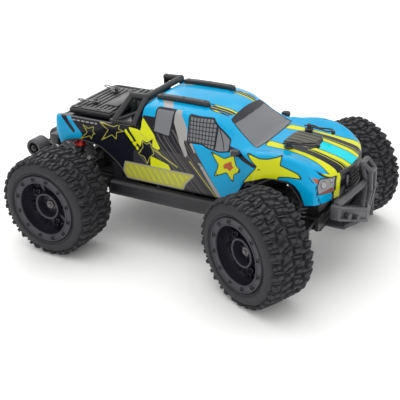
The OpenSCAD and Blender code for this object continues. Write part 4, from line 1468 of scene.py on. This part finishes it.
def add_clips(materials):
    front = Shape()
    rear = Shape()
    for y in SIDES:
        x, half = FRONT_POST
        front.tube(clip_path(x, y * half, FRONT_CLIP_Z, 33, math.radians(y * -12)), 0.95)
        front.ball((x + 33.5, y * half - y * 7, FRONT_CLIP_Z + 0.2), 2.6, 14)
        x, half = REAR_POST
        rear.tube(clip_path(x, y * half, REAR_CLIP_Z, 24, math.radians(y * 160)), 0.8)
    add_piece("front_clips", front, materials["wire_black"], "chassis")
    add_piece("rear_clips", rear, materials["wire"], "chassis")


# ---- nose and tail ----

GRILLE_HALF = 33.0
GRILLE_SAG = 8.5
GRILLE_FRONT = 204.4
SLATS = (109.5, 114.5, 119.5, 124.5)


def grille_x(y, back=0.0):
    return GRILLE_FRONT - back - GRILLE_SAG * (y / GRILLE_HALF) ** 2


def grille_bar(shape, z0, z1, depth, half, back=0.0):
    """A bar of the grille that follows the curve of the nose."""
    rings = []
    for y in np.linspace(-half, half, 25):
        outline = rounded_rectangle(depth, z1 - z0, 0.7)
        x = grille_x(y, back) - depth / 2
        rings.append([(x + p[0], y, (z0 + z1) / 2 + p[1]) for p in outline])
    shape.loft(rings)


def add_nose(materials):
    s = Shape()
    grille_bar(s, 103.6, 107.0, 5.0, GRILLE_HALF)
    grille_bar(s, 128.0, 132.6, 5.4, GRILLE_HALF)
    for z in SLATS:
        grille_bar(s, z - 0.9, z + 0.9, 2.6, GRILLE_HALF - 2, 1.4)
    for y in (-GRILLE_HALF + 1.4, GRILLE_HALF - 1.4):
        x = grille_x(y)
        s.block((x - 5, y - 1.8, 104), (x, y + 1.8, 132), 0.9)
    for y in (-11, 11):
        x = grille_x(y, 1.2)
        s.block((x - 3, y - 1, 106), (x, y + 1, 129), 0.5)
    add_piece("grille", s, materials["satin"], "chassis")
    back = Shape()
    grille_bar(back, 104.5, 131.5, 1.2, GRILLE_HALF - 1, 5.0)
    add_piece("grille_back", back, materials["lining"], "chassis")


def skin_at(x, z, side):
    """The point and normal of the shell nearest to (x, z) in side view."""
    around = SKIN.shape[1]
    quarter = around // 2 // 2
    columns = slice(0, quarter) if side < 0 else slice(around - quarter, around)
    part = SKIN[:, columns]
    d = (part[..., 0] - x) ** 2 + (part[..., 2] - z) ** 2
    i, j = np.unravel_index(np.argmin(d), d.shape)
    return part[i, j], NORMALS[:, columns][i, j]


def add_lamps(materials):
    """Round lamps in the headlight recesses."""
    rims = Shape()
    glass = Shape()
    for side in SIDES:
        for x, z, r in ((186.6, 124.6, 4.0), (191.2, 126.2, 2.6)):
            p, n = skin_at(x, z, side)
            u, v = cross_frame(n)
            for shape, profile in (
                (rims, ((r + 0.3, -0.6), (r + 0.3, 0.4), (r, 0.8), (r - 0.5, 0.4), (r - 0.6, -0.6))),
                (glass, ((r - 0.5, -0.5), (r - 0.6, 0.2), (r * 0.6, 0.6), (r * 0.2, 0.8))),
            ):
                rings = []
                for radius, lift in profile:
                    rings.append([p + n * lift + q[0] * u + q[1] * v for q in circle(radius, 24)])
                shape.loft(rings)
    add_piece("headlamp_rims", rims, materials["chrome"], "chassis")
    add_piece("headlamp_glass", glass, materials["lamp"], "chassis")


TAIL_X = -178.0


def add_tail(materials):
    """Tailgate that closes the shell behind the bed, with its lamps."""
    s = Shape()
    outline = [
        (-61, 114.8), (61, 114.8), (65.4, 122), (67.2, 135), (65.4, 151.6), (60, 153), (54, 150.4),
        (-54, 150.4), (-60, 153), (-65.4, 151.6), (-67.2, 135), (-65.4, 122),
    ]
    s.plate(outline, TAIL_X + 0.1, TAIL_X + 1.8, 0.5)
    s.block((TAIL_X - 0.2, -42, 127), (TAIL_X + 1.2, 42, 146), 0.6)
    s.block((TAIL_X - 0.8, -12, 138), (TAIL_X + 1.2, 12, 142), 0.7)
    add_piece("tailgate", s, materials["tail"], "chassis")
    bar = Shape()
    bar.block((TAIL_X - 15, -66, 110), (TAIL_X - 0.6, 66, 125.4), 2.6)
    bar.block((TAIL_X - 16, -34, 113), (TAIL_X - 12, 34, 122), 1.4)
    for y in SIDES:
        bar.beam((TAIL_X - 7, y * 30, 118), (TAIL_X + 6, y * 30, 118), 8, 6, 1.4)
    add_piece("tail_bumper", bar, materials["satin"], "chassis")
    lamps = Shape()
    for y in SIDES:
        lamps.side_block(y, (TAIL_X - 0.9, 47, 128), (TAIL_X + 1.4, 61, 145), 1.0)
    add_piece("tail_lamps", lamps, materials["red"], "chassis")


ARCHES = ((-171, -73), (92, 169))


def add_arch_lips(materials):
    """A rolled lip along the edge of each wheel arch."""
    s = Shape()
    for low, high in ARCHES:
        for column in (0, -1):
            edge = SKIN[:, column]
            path = edge[(edge[:, 0] > low) & (edge[:, 0] < high)]
            s.tube(path[::2] - (0, math.copysign(0.6, path[0, 1]), -0.4), 1.3)
    add_piece("arch_lips", s, materials["satin"], "chassis")


# ---- shocks ----

SHOCK_X = 158
SHOCK_TOP = (40, 124)
SHOCK_LOW = (76, 58)
SPRING_R = 9.4
WIRE_R = 1.15
SPRING_START = 18.2
SPRING_END = 63.9
COILS = 7.5


def add_springs(materials):
    """The shocks' coils, between the shock's body and its rod."""
    for corner in CORNERS:
        end = 1 if corner[0] == "f" else -1
        side = 1 if corner[1] == "l" else -1
        x = end * SHOCK_X
        top = np.array((x, side * SHOCK_TOP[0], SHOCK_TOP[1]), float)
        low = np.array((x, side * SHOCK_LOW[0], SHOCK_LOW[1]), float)
        w = unit(low - top)
        u, v = cross_frame(w)
        path = []
        steps = int(COILS * 20)
        for k in range(steps + 1):
            t = k / steps
            pitch = t + 0.035 * math.sin(2 * math.pi * t)
            along = SPRING_START + WIRE_R + (SPRING_END - SPRING_START - 2 * WIRE_R) * pitch
            a = 2 * math.pi * COILS * t
            r = SPRING_R - WIRE_R
            path.append(top + w * along + r * (math.cos(a) * u + math.sin(a) * v))
        s = Shape()
        s.tube(path, WIRE_R)
        mesh = bpy.data.meshes.new("coil_" + corner)
        mesh.from_pydata([at(*p) for p in s.points], [], s.faces)
        tidy_mesh(mesh, 40)
        mesh.materials.append(materials["coil"])
        made = make_object("coil_" + corner, mesh)
        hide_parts("spring_" + corner)
        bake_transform(made)


# ---- wheelie bar ----

WHEELIE_Y = (14, 36)
WHEELIE_SPOKES = 5


def add_wheelie_wheels(materials):
    """Two small wheels with ribbed tyres and spoked hubs."""
    centre = centre_of("wheelie_wheels")
    x = (centre.x - MID_X) / MM
    z = centre.z / MM
    tread = Shape()
    hub = Shape()
    width = WHEELIE_Y[1] - WHEELIE_Y[0]
    half = [(9.2, 0.2), (11.4, 0), (12.3, 1.0), (12.5, 2.4), (11.9, 3.0), (12.5, 3.6)]
    profile = half + [(r, width - w) for r, w in half[::-1]]
    for side in SIDES:
        start = min(side * WHEELIE_Y[0], side * WHEELIE_Y[1])
        tread.lathe(profile, 48, (x, start, z), closed=True)
        for outer, inner, inset, n in ((9.3, 8.0, 0.6, 48), (4.2, 2.1, 0.2, 32)):
            ring = [(outer, inset), (outer, width - inset), (inner, width - inset), (inner, inset)]
            hub.lathe(ring, n, (x, start, z), closed=True)
        for k in range(WHEELIE_SPOKES):
            a = 2 * math.pi * k / WHEELIE_SPOKES
            near = (x + 3.8 * math.cos(a), start + width / 2, z + 3.8 * math.sin(a))
            far = (x + 8.4 * math.cos(a), start + width / 2, z + 8.4 * math.sin(a))
            hub.beam(near, far, 2.2, 8.0, 0.5, 0.1)
    body = "wheelie_wheels"
    add_piece("wheelie_tyres", tread, materials["rubber_grey"], body, ["wheelie_wheels"])
    add_piece("wheelie_hubs", hub, materials["satin"], body)


# ---- the whole scene ----

FLOOR_HALF = 6.0


def add_floor():
    """A plain pale floor, which is not part of the object."""
    mesh = bpy.data.meshes.new("floor")
    corners = [(x * FLOOR_HALF, y * FLOOR_HALF, 0) for x, y in ((-1, -1), (1, -1), (1, 1), (-1, 1))]
    mesh.from_pydata(corners, [], [(0, 1, 2, 3)])
    g = Graph("floor")
    g.colour(g.mix(g.ramp(g.noise(3.0), 0.3, 0.7), (0.95, 0.95, 0.94), (0.97, 0.97, 0.96)))
    g.roughness(0.75)
    mesh.materials.append(g.material)
    make_object("floor", mesh)


def build_materials():
    return {
        "rubber": tyre_material(),
        "rubber_grey": surface("wheelie_rubber", (0.07, 0.07, 0.076), 0.6, 1200.0, 0.08),
        "rim": surface("rim_plastic", (0.018, 0.018, 0.027), 0.38, 1100.0, 0.04, 0.2),
        "bolt": surface("bolt_steel", (0.008, 0.008, 0.010), 0.25, 1500.0, 0.03, 0.2, Metallic=0.2),
        "nut": surface("nut_steel", (0.16, 0.15, 0.155), 0.42, 1500.0, 0.03, 0.15, Metallic=0.6),
        "tubes": surface("cage_plastic", (0.018, 0.018, 0.020), 0.45, 900.0, 0.05, 0.25),
        "cargo": surface("cargo_plastic", (0.012, 0.020, 0.019), 0.4, 700.0, 0.05, 0.35),
        "chrome": surface("lamp_rim", (0.30, 0.30, 0.31), 0.25, 900.0, 0.02, 0.15, Metallic=0.8),
        "nylon": surface("nylon", (0.028, 0.028, 0.031), 0.48, 1000.0, 0.06, 0.3),
        "satin": surface("satin_plastic", (0.022, 0.022, 0.024), 0.38, 900.0, 0.04, 0.25),
        "tub": surface("chassis_plastic", (0.013, 0.013, 0.016), 0.5, 1100.0, 0.07, 0.3),
        "bumper": surface("bumper_plastic", (0.064, 0.064, 0.071), 0.45, 1000.0, 0.07, 0.25),
        "case": surface("case_plastic", (0.02, 0.02, 0.022), 0.5, 900.0, 0.05),
        "can": surface("motor_can", (0.40, 0.40, 0.42), 0.32, 500.0, 0.03, 0.12, (1, 12, 12), Metallic=0.9),
        "brass": surface("pinion_steel", (0.45, 0.42, 0.32), 0.3, 800.0, 0.02, 0.12, Metallic=0.9),
        "gear": surface("gear_nylon", (0.05, 0.05, 0.055), 0.45, 900.0, 0.05),
        "battery": surface("battery_case", (0.03, 0.05, 0.25), 0.42, 700.0, 0.04, 0.2),
        "steel": surface("link_steel", (0.22, 0.22, 0.23), 0.34, 700.0, 0.03, 0.15, (1, 1, 8), Metallic=0.8),
        "coil": surface("spring_steel", (0.035, 0.035, 0.038), 0.35, 800.0, 0.03, 0.2, Metallic=0.4),
        "wire": surface("clip_steel", (0.20, 0.20, 0.21), 0.35, 1200.0, 0.02, 0.1, Metallic=0.9),
        "wire_black": surface("clip_black", (0.015, 0.015, 0.016), 0.3, 1200.0, 0.02, 0.2, Metallic=0.3),
        "lining": surface("shell_lining", (0.012, 0.012, 0.013), 0.6, 500.0, 0.05, 0.3),
        "lamp": surface("lamp_lens", (0.34, 0.35, 0.36), 0.14, 300.0, 0.02, 0.2, Coat_Weight=0.8),
        "red": surface("tail_lens", (0.34, 0.012, 0.01), 0.16, 300.0, 0.03, 0.2, Coat_Weight=0.8),
        "tail": surface("tail_panel", (0.012, 0.012, 0.016), 0.22, 400.0, 0.03, 0.2, Coat_Weight=0.6),
        "shock": shock_material(),
        "paint": paint_material(),
    }


MATERIALS = build_materials()
add_camera()
bpy.context.scene.view_settings.view_transform = "Standard"
add_world(WORLD_LIGHT)
for light in LIGHTS:
    add_area_light(*light)
add_floor()
for build in (
    clad_chassis, add_wheels, add_shell, add_bumper, add_cage, add_cargo, add_bed_box, add_trim, add_posts,
    add_clips, add_tail_braces, add_nose, add_lamps, add_tail, add_arch_lips, add_springs, add_wheelie_wheels,
):
    build(MATERIALS)
